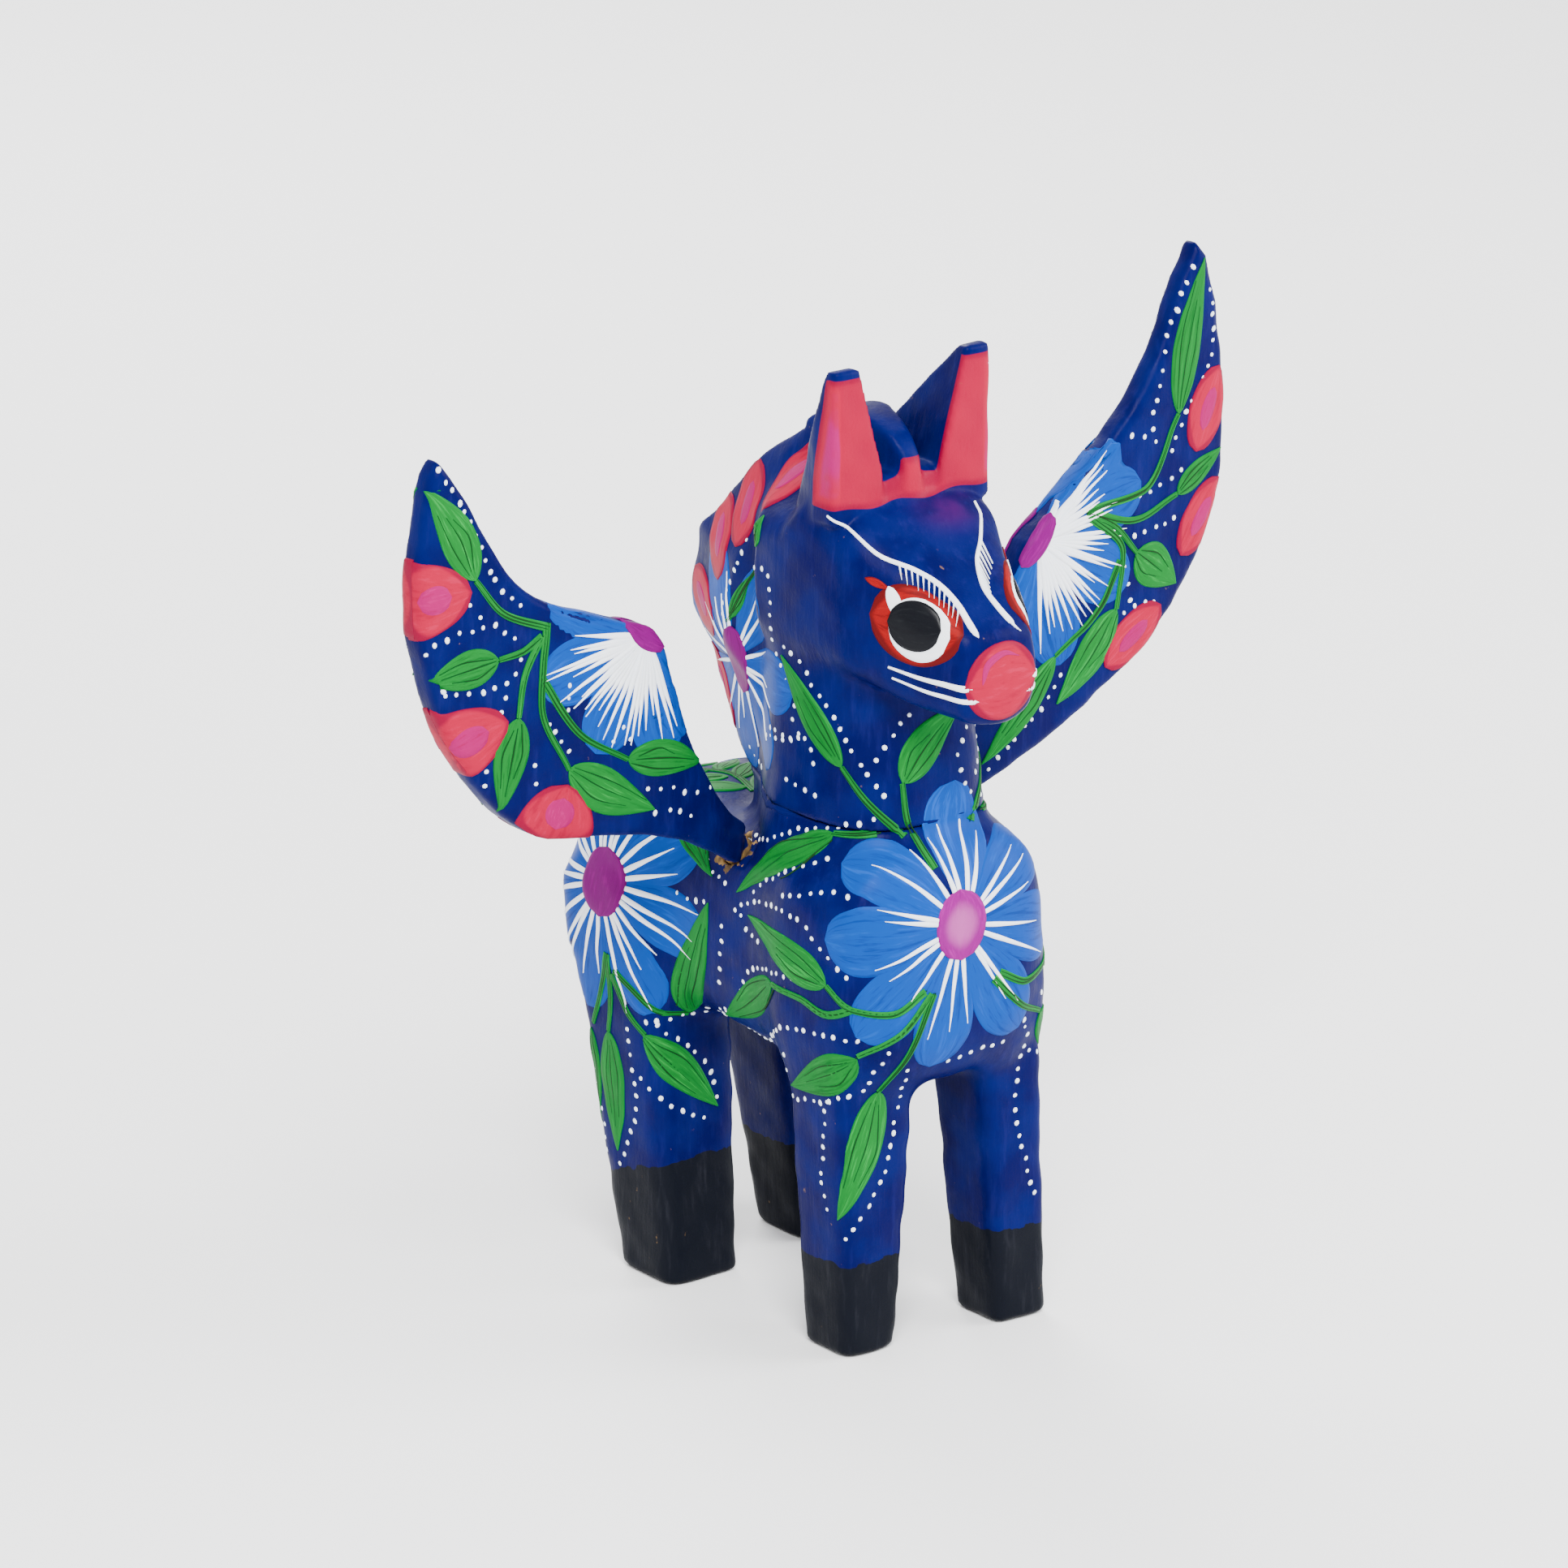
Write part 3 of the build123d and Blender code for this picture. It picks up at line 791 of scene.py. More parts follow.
ABOVE = "above"          # seen from above: h is to the figure's left, z towards its head
OVER_BACK, OVER_RUMP = 69.0, 73.0        # heights from which strokes come down, clear of mane and neck
RUMP_BEGINS = -14.0
FAR_OFF, NEAR_AXIS = 150, 14             # where a stroke is looked for from, and where it falls if it misses
DOT_SPACING, DOT_SIZE, DOT_SEED = 1.7, 0.34, 11
STROKE_SINK = 0.08
ORDER_LIFT, ORDERS = 0.004, 9            # neighbouring strokes lie at slightly different heights
FARTHEST_STEP = 6.5      # a stroke stops where the surface falls away by more than this


class Coat:
    """All the brushwork on one body, gathered by paint and then laid with the node trees."""

    def __init__(self, body, *carvings, seed=1):
        self.body = body
        shift = np.cumsum([0] + [len(c.points) for c in carvings])
        self.points = np.concatenate([c.points for c in carvings])
        self.quads = np.concatenate([c.quads + k for c, k in zip(carvings, shift)])
        self.tree = BVHTree.FromPolygons(self.points.tolist(), self.quads.tolist())
        self.lines = {}
        self.chance = np.random.default_rng(seed)

    def land(self, bearing, h, z):
        """The surface point seen from a compass bearing, h to the viewer's right and z up, or from above."""
        if bearing == ABOVE:
            start = OVER_RUMP if z < RUMP_BEGINS else OVER_BACK
            return self.tree.ray_cast(Vector((h, -z, start)), Vector((0, 0, -1)))[0]
        a = math.radians(bearing)
        right, back = Vector((math.cos(a), math.sin(a), 0)), Vector((math.sin(a), -math.cos(a), 0))
        hit = self.tree.ray_cast(right * h + back * FAR_OFF + Vector((0, 0, z)), -back)[0]
        if hit is not None:
            return hit
        return self.tree.find_nearest(right * h + back * NEAR_AXIS + Vector((0, 0, z)))[0]

    def walk(self, start, angle, length, first=0.0, step=0.6):
        """Points from first to length millimetres along the surface, at an angle clockwise from up."""
        point, normal = self.tree.find_nearest(start)[:2]
        up = Vector((0, 0, 1)) if abs(normal.z) < 0.9 else Vector((0, -1, 0))
        up = (up - normal * up.dot(normal)).normalized()
        way = up * math.cos(math.radians(angle)) + up.cross(normal) * math.sin(math.radians(angle))
        path, gone = [], 0.0
        while gone <= length + 1e-6:
            if gone >= first - 1e-6:
                path.append(point)
            point, normal = self.tree.find_nearest(point + way * step)[:2]
            way = (way - normal * way.dot(normal)).normalized()
            gone += step
        return path

    def lay(self, paint, path, half, shape, thinnest=0.06):
        """One stroke on landed points."""
        t = np.linspace(0, 1, len(path))
        widths = np.maximum(half * shape(t), thinnest)
        self.lines.setdefault(paint, []).append((path, widths, self.chance.random()))

    def brush(self, paint, bearing, points, half, shape=even_shape, spacing=0.8, thinnest=0.06):
        """One stroke through points given as h and z from a bearing."""
        length = np.linalg.norm(np.diff(np.asarray(points, float), axis=0), axis=1).sum()
        line = ease(points, max(4, int(length / spacing) + 2))
        path = [self.land(bearing, h, z) for h, z in line]
        breaks = [k + 1 for k, (a, b) in enumerate(zip(path, path[1:])) if (b - a).length > FARTHEST_STEP]
        runs = [path[a:b] for a, b in zip([0] + breaks, breaks + [len(path)])]
        kept = max(runs, key=len)
        if len(kept) > 1:
            self.lay(paint, kept, half, shape, thinnest)

    def dots(self, bearing, *points):
        self.brush("dot", bearing, points, 1.0)

    def stem(self, bearing, *points, half=0.62):
        self.brush("leaf", bearing, points, half, stem_shape)
        for side in (-0.22, 0.2):
            points_beside = [(h + side, z + side * 0.6) for h, z in points]
            self.brush("vein", bearing, points_beside, 0.15, leaf_shape)

    def leaf(self, bearing, base, tip, half, bow=0.0, veins=3):
        """A leaf from its stem end to its tip, with the dark hairs left by a dry brush."""
        base, tip = np.array(base, float), np.array(tip, float)
        along = tip - base
        side = np.array([-along[1], along[0]]) / np.linalg.norm(along)
        line = [base, (base + tip) / 2 + side * bow, tip]
        self.brush("leaf", bearing, line, half, leaf_shape, spacing=0.6)
        for k in range(veins):
            off = half * (-0.5 + k / max(veins - 1, 1)) * 0.95 + self.chance.normal() * 0.12
            first, last = 0.02 + 0.12 * self.chance.random(), 0.55 + 0.35 * self.chance.random()
            middle = base + along * (first + last) / 2 + side * (bow * 0.9 + off)
            start = base + along * first + side * off * 0.35
            end = base + along * last + side * (bow * 0.5 + off * 0.6)
            self.brush("vein", bearing, [start, middle, end], 0.1 + 0.07 * self.chance.random(),
                       leaf_shape)

    def daisy(self, bearing, centre, radius, petals, heart, rays=20, ray_length=12.0, half=4.4, ray_half=0.5,
              fan=None, centre_paint="heart", heart_turn=0):
        """Petals at given angles from up, white flicks and a heart.

        A fan limits the flicks to those angles and lays everything on a flat side.
        """
        middle = self.land(bearing, *centre)

        def spoke(angle, length, first=0.0):
            if fan is None:
                return self.walk(middle, angle, length, first)
            turn = math.radians(angle)
            reach = np.arange(first, length, 0.6)
            return [self.land(bearing, centre[0] + r * math.sin(turn),
                              centre[1] + r * math.cos(turn)) for r in reach]

        for angle in petals:
            self.lay("petal", spoke(angle, radius * (0.97 + 0.06 * self.chance.random()), 1.5), half,
                     petal_shape)
        first, last = fan or (0.0, 360.0)
        for k in range(rays):
            angle = first + (last - first) * (k + 0.28 * self.chance.normal()) / rays
            length = ray_length * (0.78 + 0.36 * self.chance.random())
            self.lay("white", spoke(angle, length, min(heart) * 0.7), ray_half, ray_shape, 0.05)
        self.lay(centre_paint, spoke(heart_turn, heart[1])[::-1] + spoke(heart_turn + 180, heart[1])[1:],
                 heart[0], oval_shape)

    def lobe(self, bearing, start, angle, length, half, shape=oval_shape):
        """A coral scallop with a pink middle, walked from a point so that it can turn over a rim."""
        path = self.walk(self.land(bearing, *start), angle, length)
        self.lay("coral", path, half, shape)
        count = len(path)
        self.lay("pink", path[int(count * 0.28): int(count * 0.8)], half * 0.4, oval_shape)

    def finish(self):
        """Lays every stroke and row of dots on this body."""
        skin_object = new_object(self.body + "_skin", self.points, self.quads)
        for paint, strokes in self.lines.items():
            verts, edges, widths, order, shade, along = [], [], [], [], [], []
            for k, (path, half, chance) in enumerate(strokes):
                edges += [(len(verts) + i, len(verts) + i + 1) for i in range(len(path) - 1)]
                verts += [tuple(p) for p in path]
                widths += list(half * MM)
                order += [(k % ORDERS) * ORDER_LIFT * MM] * len(path)
                shade += [chance] * len(path)
                along += list(np.linspace(0, 1, len(path)))
            name = self.body + "_" + PAINTS[paint]["piece"]
            mesh = bpy.data.meshes.new(name)
            mesh.from_pydata(to_frame(verts).tolist(), edges, [])
            for label, values in (("half_width", widths), ("order", order), ("shade", shade), ("along",
                                  along)):
                mesh.attributes.new(label, "FLOAT", "POINT").data.foreach_set("value", np.array(values,
                                                                              np.float32))
            piece = bpy.data.objects.new(name, mesh)
            bpy.context.scene.collection.objects.link(piece)
            look = PAINTS[paint]
            if paint == "dot":
                grow(piece, DOT_TREE, Surface=skin_object, Spacing=DOT_SPACING * MM, Size=DOT_SIZE * MM,
                     Seed=DOT_SEED,
                     Paint=look["material"])
            else:
                grow(piece, STROKE_TREE, Surface=skin_object, Lift=look["lift"] * MM,
                     Crown=look["crown"] * MM,
                     Sink=STROKE_SINK * MM, Sides=look["sides"], Paint=look["material"])
            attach(piece, self.body)
            if paint == "filler":
                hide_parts("neck_filler")
        bpy.data.objects.remove(skin_object)


STREAKS_ACROSS = 3.5


def brushed(name, dark, body, light, roughness=0.42, coat=0.0, centre=None, rim=None):
    """Acrylic laid with a brush, streaked, and sometimes another tone at its middle or rim."""
    f = Finish(name, roughness, coat)
    across, along, shade = f.attribute("across"), f.attribute("along"), f.attribute("shade")
    place = f.add("ShaderNodeCombineXYZ", in_0=f.math("MULTIPLY", along, 1.6),
                  in_1=f.math("MULTIPLY", across, STREAKS_ACROSS), in_2=f.math("MULTIPLY", shade,
                                                                               23.0)).outputs[0]
    streak = f.noise(1.7, 3.0, place, 0.65)
    tint = f.math("ADD", f.ramp(streak, 0.3, 0.7), f.math("MULTIPLY", shade, 0.3))
    colour = f.mix(f.ramp(tint, 0.05, 0.5), dark, body)
    colour = f.mix(f.ramp(tint, 0.85, 1.35), colour, light)
    ends = f.math("SUBTRACT", f.math("MULTIPLY", along, 2.0), 1.0)
    reach = f.math("ADD", f.math("MULTIPLY", across, across), f.math("MULTIPLY", ends, ends))
    # A paler tone towards the middle; on the chest heart it is a painted highlight.
    if centre:
        colour = f.mix(f.ramp(f.math("ADD", reach, f.math("MULTIPLY", streak, 0.3)), 0.75, 0.15), colour,
                       centre)
    if rim:
        colour = f.mix(f.ramp(reach, 0.72, 0.98), colour, rim)
    f.link(colour, "Base Color")
    f.bumps((streak, 0.35), (f.noise(1500.0, 3.0), 0.25), distance=0.00008)
    return f.material


# ------------------------------------------------------------------ the making
def finish_piece(piece, body, slot, *nodes):
    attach(piece, body)
    if nodes:
        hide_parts(*nodes)


STROKE_TREE = brush_stroke_tree()
DOT_TREE = paint_dot_tree()
PAINTS = {
    "petal": dict(piece="petals", slot="petal_paint", lift=0.05, crown=0.02, sides=24,
                  material=brushed("petal_blue", paint_of(0, 2.6, 18), paint_of(0, 4.2, 26), paint_of(0.4,
                                   6.6, 36))),
    "leaf": dict(piece="leaves", slot="leaf_paint", lift=0.13, crown=0.04, sides=16,
                 material=brushed("leaf_green", paint_of(0.1, 8.5, 1.1), paint_of(0.1, 13, 1.7),
                                  paint_of(0.6, 24, 3.4))),
    "vein": dict(piece="leaf_veins", slot="leaf_paint", lift=0.18, crown=0.01, sides=8,
                 material=brushed("vein_green", paint_of(0.3, 1.8, 0.4), paint_of(0.5, 3.2, 0.7),
                                  paint_of(0.5, 5.4, 1))),
    "white": dict(piece="white_flicks", slot="white_paint", lift=0.12, crown=0.06, sides=8,
                  material=brushed("white", paint_of(70, 78, 90), paint_of(84, 88, 94), paint_of(90, 92,
                                   95))),
    "heart": dict(piece="flower_hearts", slot="magenta_paint", lift=0.2, crown=0.08, sides=20,
                  material=brushed("magenta", paint_of(10, 0.02, 8), paint_of(13.5, 0.03, 11), paint_of(18,
                                   0.1, 14))),
    # The chest heart's paler pink middle is a painted highlight.
    "bloom": dict(piece="chest_heart", slot="magenta_paint", lift=0.2, crown=0.08, sides=20,
                  material=brushed("pale_magenta", paint_of(12, 0.2, 10), paint_of(19, 0.3, 15),
                                   paint_of(26, 0.6, 20),
                                   centre=paint_of(36, 6, 26))),
    "coral": dict(piece="coral_scallops", slot="coral_paint", lift=0.12, crown=0.06, sides=20,
                  material=brushed("coral", paint_of(26, 0.1, 2.3), CORAL, paint_of(40, 0.8, 4.8),
                                   rim=HOT_EDGE)),
    "pink": dict(piece="pink_middles", slot="coral_paint", lift=0.19, crown=0.02, sides=12,
                 material=brushed("hot_pink", paint_of(25, 0.1, 6), paint_of(28, 0.2, 8.5), paint_of(34,
                                  0.6, 11))),
    "red": dict(piece="eye_rims", slot="red_paint", lift=0.1, crown=0.08, sides=24,
                material=brushed("eye_red", paint_of(12, 0.4, 0.5), paint_of(22, 0.4, 0.5), paint_of(28,
                                 1.2, 0.8),
                                 rim=paint_of(9, 0.4, 0.5))),
    "eye": dict(piece="eye_whites", slot="white_paint", lift=0.22, crown=0.04, sides=20,
                material=brushed("eye_white", paint_of(80, 84, 90), paint_of(86, 90, 94), paint_of(92, 93,
                                 95))),
    "pupil": dict(piece="pupils", slot="hoof_paint", lift=0.3, crown=0.14, sides=20,
                  material=brushed("pupil_black", paint_of(0.3, 0.3, 0.5), paint_of(0.35, 0.4, 0.6),
                                   paint_of(0.8, 0.9, 1.1), 0.25, 0.1)),
    # The filler's palest tone is the same painted sheen blue.
    "filler": dict(piece="neck_seam_filler", slot="filler", lift=0.01, crown=0.02, sides=12,
                   material=brushed("filler_blue", DEEP_BLUE, BLUE, SHEEN_BLUE, 0.7, 0.0)),
    "dot": dict(piece="white_dots", slot="white_paint",
                material=brushed("dot_white", paint_of(70, 78, 92), paint_of(82, 88, 94), paint_of(90, 92,
                                 95))),
}
set_camera()
set_stage()
CELL = 0.45
torso_block = Carving("torso_and_legs", body_field, (-20, -28.5, -1.5), (20, 44, 73.5), CELL)
head_block = Carving("head_neck_and_mane", head_field, (-15, -37, 69.5), (15, 29.5, 135), CELL)
wings = {side: Carving(name, wing_field(side), low, high, CELL)
         for side, name, low, high in ((-1, "right_wing_blade", (-69, -3.2, 54), (-3, 11, 129)),
                                       (1, "left_wing_blade", (3, -3.2, 54), (69, 11, 138)))}
tail_block = Carving("tail_carved", tail_field, (-6.5, 30.5, 18), (6.5, 51, 58.5), CELL)
BLOCKS = (torso_block, head_block, wings[-1], wings[1], tail_block)


def seat_wear(points, seat, direction):
    """How bare the wood is around a peg: fully on the peg and in its hole, ragged just outside."""
    height, off = along_and_off(*points.T, seat, direction)
    near_peg = height > -PEG_LENGTH - 1.5
    above = np.clip(1.0 - np.maximum(height - 0.1, 0) * 1.6, 0, 1)
    return near_peg * above * np.clip(1.75 - off / 2.3, 0, 1)


def coral_on_head(points):
    """Millimetres inside the coral of the band, the ears' fronts and the forelock."""
    x, y, z = points.T
    climb = np.clip((z - 118) / 14, 0, 1)
    outer = np.clip((np.abs(x) - 11.6) / 0.8, 0, 1)
    front = -14.8 + 3.9 * outer * (1 - 0.75 * climb) - y
    top = np.where(np.abs(x) > 3.2, 131.7 - z, 119.6 - z)
    return np.minimum(np.minimum(front, top), z - 114.3 + 0.25 * np.sin(x * 0.7))


for block in BLOCKS:
    x, y, z = block.points.T
    block.store("coral_edge", coral_on_head(block.points) if block is head_block else np.full(len(x), -5.0))
    hind_line = np.where(x < 0, 17.2 - 0.36 * (y - 15), 13.6)
    block.store("hoof", np.where(y > 0, hind_line, 13.2) - z if block is torso_block else np.full(len(x),
                -5.0))
    bare = np.zeros(len(x))
    for side in (-1, 1):
        if block in (torso_block, wings[side]):
            bare = np.maximum(bare, seat_wear(block.points, WING_SEAT[side], wing_direction(side)))
    if block in (torso_block, tail_block):
        bare = np.maximum(bare, seat_wear(block.points, TAIL_SEAT, TAIL_DIRECTION))
    block.store("bare", bare)
    block.store("violet", np.exp(-((x - 4) / 4) ** 2 - ((z - 112.8) / 1.8) ** 2) * (block is head_block))

painted = carved_paint("ultramarine_on_wood")
for block in BLOCKS:
    block.piece.data.materials.append(painted)
finish_piece(torso_block.piece, "figure", "painted_wood", "body_block")
finish_piece(head_block.piece, "figure", "painted_wood", "head_and_neck")
finish_piece(wings[-1].piece, "right_wing", "painted_wing", "wing_right")
finish_piece(wings[1].piece, "left_wing", "painted_wing", "wing_left")
finish_piece(tail_block.piece, "tail_piece", "painted_tail", "tail")

# ---- the wings: the same garland on both faces of each blade
FRONT, BEHIND = (0, 1), (180, -1)


def turned(way):
    """Places points as given, or as their mirror image when way is -1."""
    def at(*points):
        return [(h * way, z) for h, z in points]
    return at


right_wing = Coat("right_wing", wings[-1], seed=3)
for bearing, way in (FRONT, BEHIND):
    at = turned(way)

    right_wing.daisy(bearing, *at((-32.0, 98.0)), 17.3, [a * way for a in (-66, -103, -150, 171, 146)],
                     (1.8, 3.7),
                     rays=24, ray_length=14.5, ray_half=0.7, fan=(-138 * way - 62, -138 * way + 62), half=4.5,
                     heart_turn=127 * way)
    for base, tip, half, bow in (((-58.0, 110.0), (-64.6, 123.0), 2.9, -0.6), ((-54.8, 99.0), (-65.4, 97.5),
                                 2.9, 0.0),
                                 ((-52.0, 90.8), (-54.8, 78.6), 2.9, 0.0), ((-44.4, 82.4), (-31.0, 74.4),
                                                                            3.3, -0.6),
                                 ((-35.2, 82.0), (-22.6, 79.0), 2.8, 0.5)):
        right_wing.leaf(bearing, *at(base, tip), half, bow * way)
    for points in (((-47.4, 102.0), (-54.0, 105.0), (-58.0, 110.0)), ((-48.4, 101.0), (-51.5, 99.4), (-54.8,
                   99.0)),
                   ((-48.4, 101.0), (-51.0, 96.0), (-52.0, 90.8)), ((-47.6, 102.6), (-48.5, 92.0), (-44.4,
                                                                    82.4)),
                   ((-48.2, 95.0), (-42.6, 86.8), (-35.2, 82.0))):
        right_wing.stem(bearing, *at(*points))
    for place, turn, reach, half in (((-58.6, 108.6), -92, 10.4, 5.4), ((-53.6, 90.6), -107, 11.4, 5.4),
                                     ((-44.6, 80.4), -160, 7.8, 6.6)):
        right_wing.lobe(bearing, *at(place), turn * way, reach, half, scallop_shape)
    for points in (((-63.0, 125.0), (-60.6, 121.4), (-58.0, 117.0), (-56.2, 111.6), (-53.4, 107.4), (-51.4,
                   105.6)),
                   ((-65.4, 101.5), (-63.4, 102.6), (-59.5, 103.6), (-55.4, 103.6), (-52.4, 101.4)),
                   ((-64.4, 95.6), (-61.4, 95.4), (-56.8, 95.1), (-53.4, 95.6), (-51.4, 98.4)),
                   ((-54.0, 93.8), (-54.6, 91.8), (-55.3, 89.8)), ((-56.8, 84.6), (-57.2, 82.6)),
                   ((-47.2, 89.2), (-44.4, 84.9)), ((-44.2, 93.6), (-44.2, 90.2)),
                   ((-37.6, 84.8), (-36.2, 86.4), (-34.6, 84.6)), ((-31.8, 77.5), (-27.6, 76.5)),
                   ((-25.8, 75.6), (-21.0, 74.8)), ((-30.6, 74.0), (-28.2, 73.6), (-24.6, 72.0)),
                   ((-58.8, 106.8), (-57.4, 105.0)), ((-49.4, 84.0), (-49.4, 81.2))):
        right_wing.dots(bearing, *at(*points))
right_wing.finish()

left_wing = Coat("left_wing", wings[1], seed=5)
for bearing, way in (FRONT, BEHIND):
    at = turned(way)

    left_wing.daisy(bearing, *at((32.3, 98.9)), 18.5, [a * way for a in (47, 74, 120, 168, 205)], (1.8, 4.2),
                    rays=28, ray_length=14.5, ray_half=0.7, fan=(112 * way - 70, 112 * way + 70), half=4.6,
                    heart_turn=41 * way)
    for base, tip, half, bow in (((56.6, 112.0), (61.4, 132.6), 2.7, 0.5), ((56.3, 101.0), (64.6, 105.8),
                                 1.9, 0.0),
                                 ((49.1, 94.3), (56.4, 88.5), 3.4, 0.0), ((45.7, 87.0), (35.6, 75.6), 2.9,
                                                                          0.5),
                                 ((35.2, 82.4), (23.4, 69.4), 2.3, 0.3)):
        left_wing.leaf(bearing, *at(base, tip), half, bow * way)
    for points in (((40.5, 101.5), (50.4, 102.6), (56.6, 112.0)), ((40.5, 101.5), (49.1, 98.8), (56.3,
                   101.0)),
                   ((40.5, 101.3), (45.5, 98.4), (49.1, 94.3)), ((40.6, 101.0), (46.8, 94.6), (45.7, 87.0)),
                   ((46.3, 93.7), (42.6, 87.4), (35.2, 82.4))):
        left_wing.stem(bearing, *at(*points))
    for place, turn, reach, half in (((59.8, 106.2), 22, 12.5, 3.4), ((57.2, 92.2), 37, 12.5, 3.1),
                                     ((43.8, 79.2), 55, 12.5, 3.2)):
        left_wing.lobe(bearing, *at(place), turn * way, reach, half)
    for points in (((59.2, 131.5), (56.6, 126.8), (54.5, 121.1)), ((53.6, 118.6), (52.2, 111.7), (52.5,
                   108.9)),
                   ((62.6, 128.0), (63.2, 122.9), (62.2, 117.6), (58.7, 112.7), (56.4, 108.6), (55.7, 107.1)),
                   ((48.2, 110.6), (50.7, 109.8)), ((49.8, 101.9), (53.5, 102.7), (57.1, 104.0)),
                   ((48.8, 96.8), (52.7, 97.2), (56.2, 97.6)), ((47.3, 92.6), (48.2, 87.6)),
                   ((45.8, 84.9), (49.3, 86.8), (52.5, 86.6)),
                   ((36.4, 79.7), (33.9, 76.2), (30.0, 73.6), (26.5, 70.3), (24.7, 68.5))):
        left_wing.dots(bearing, *at(*points))
left_wing.finish()

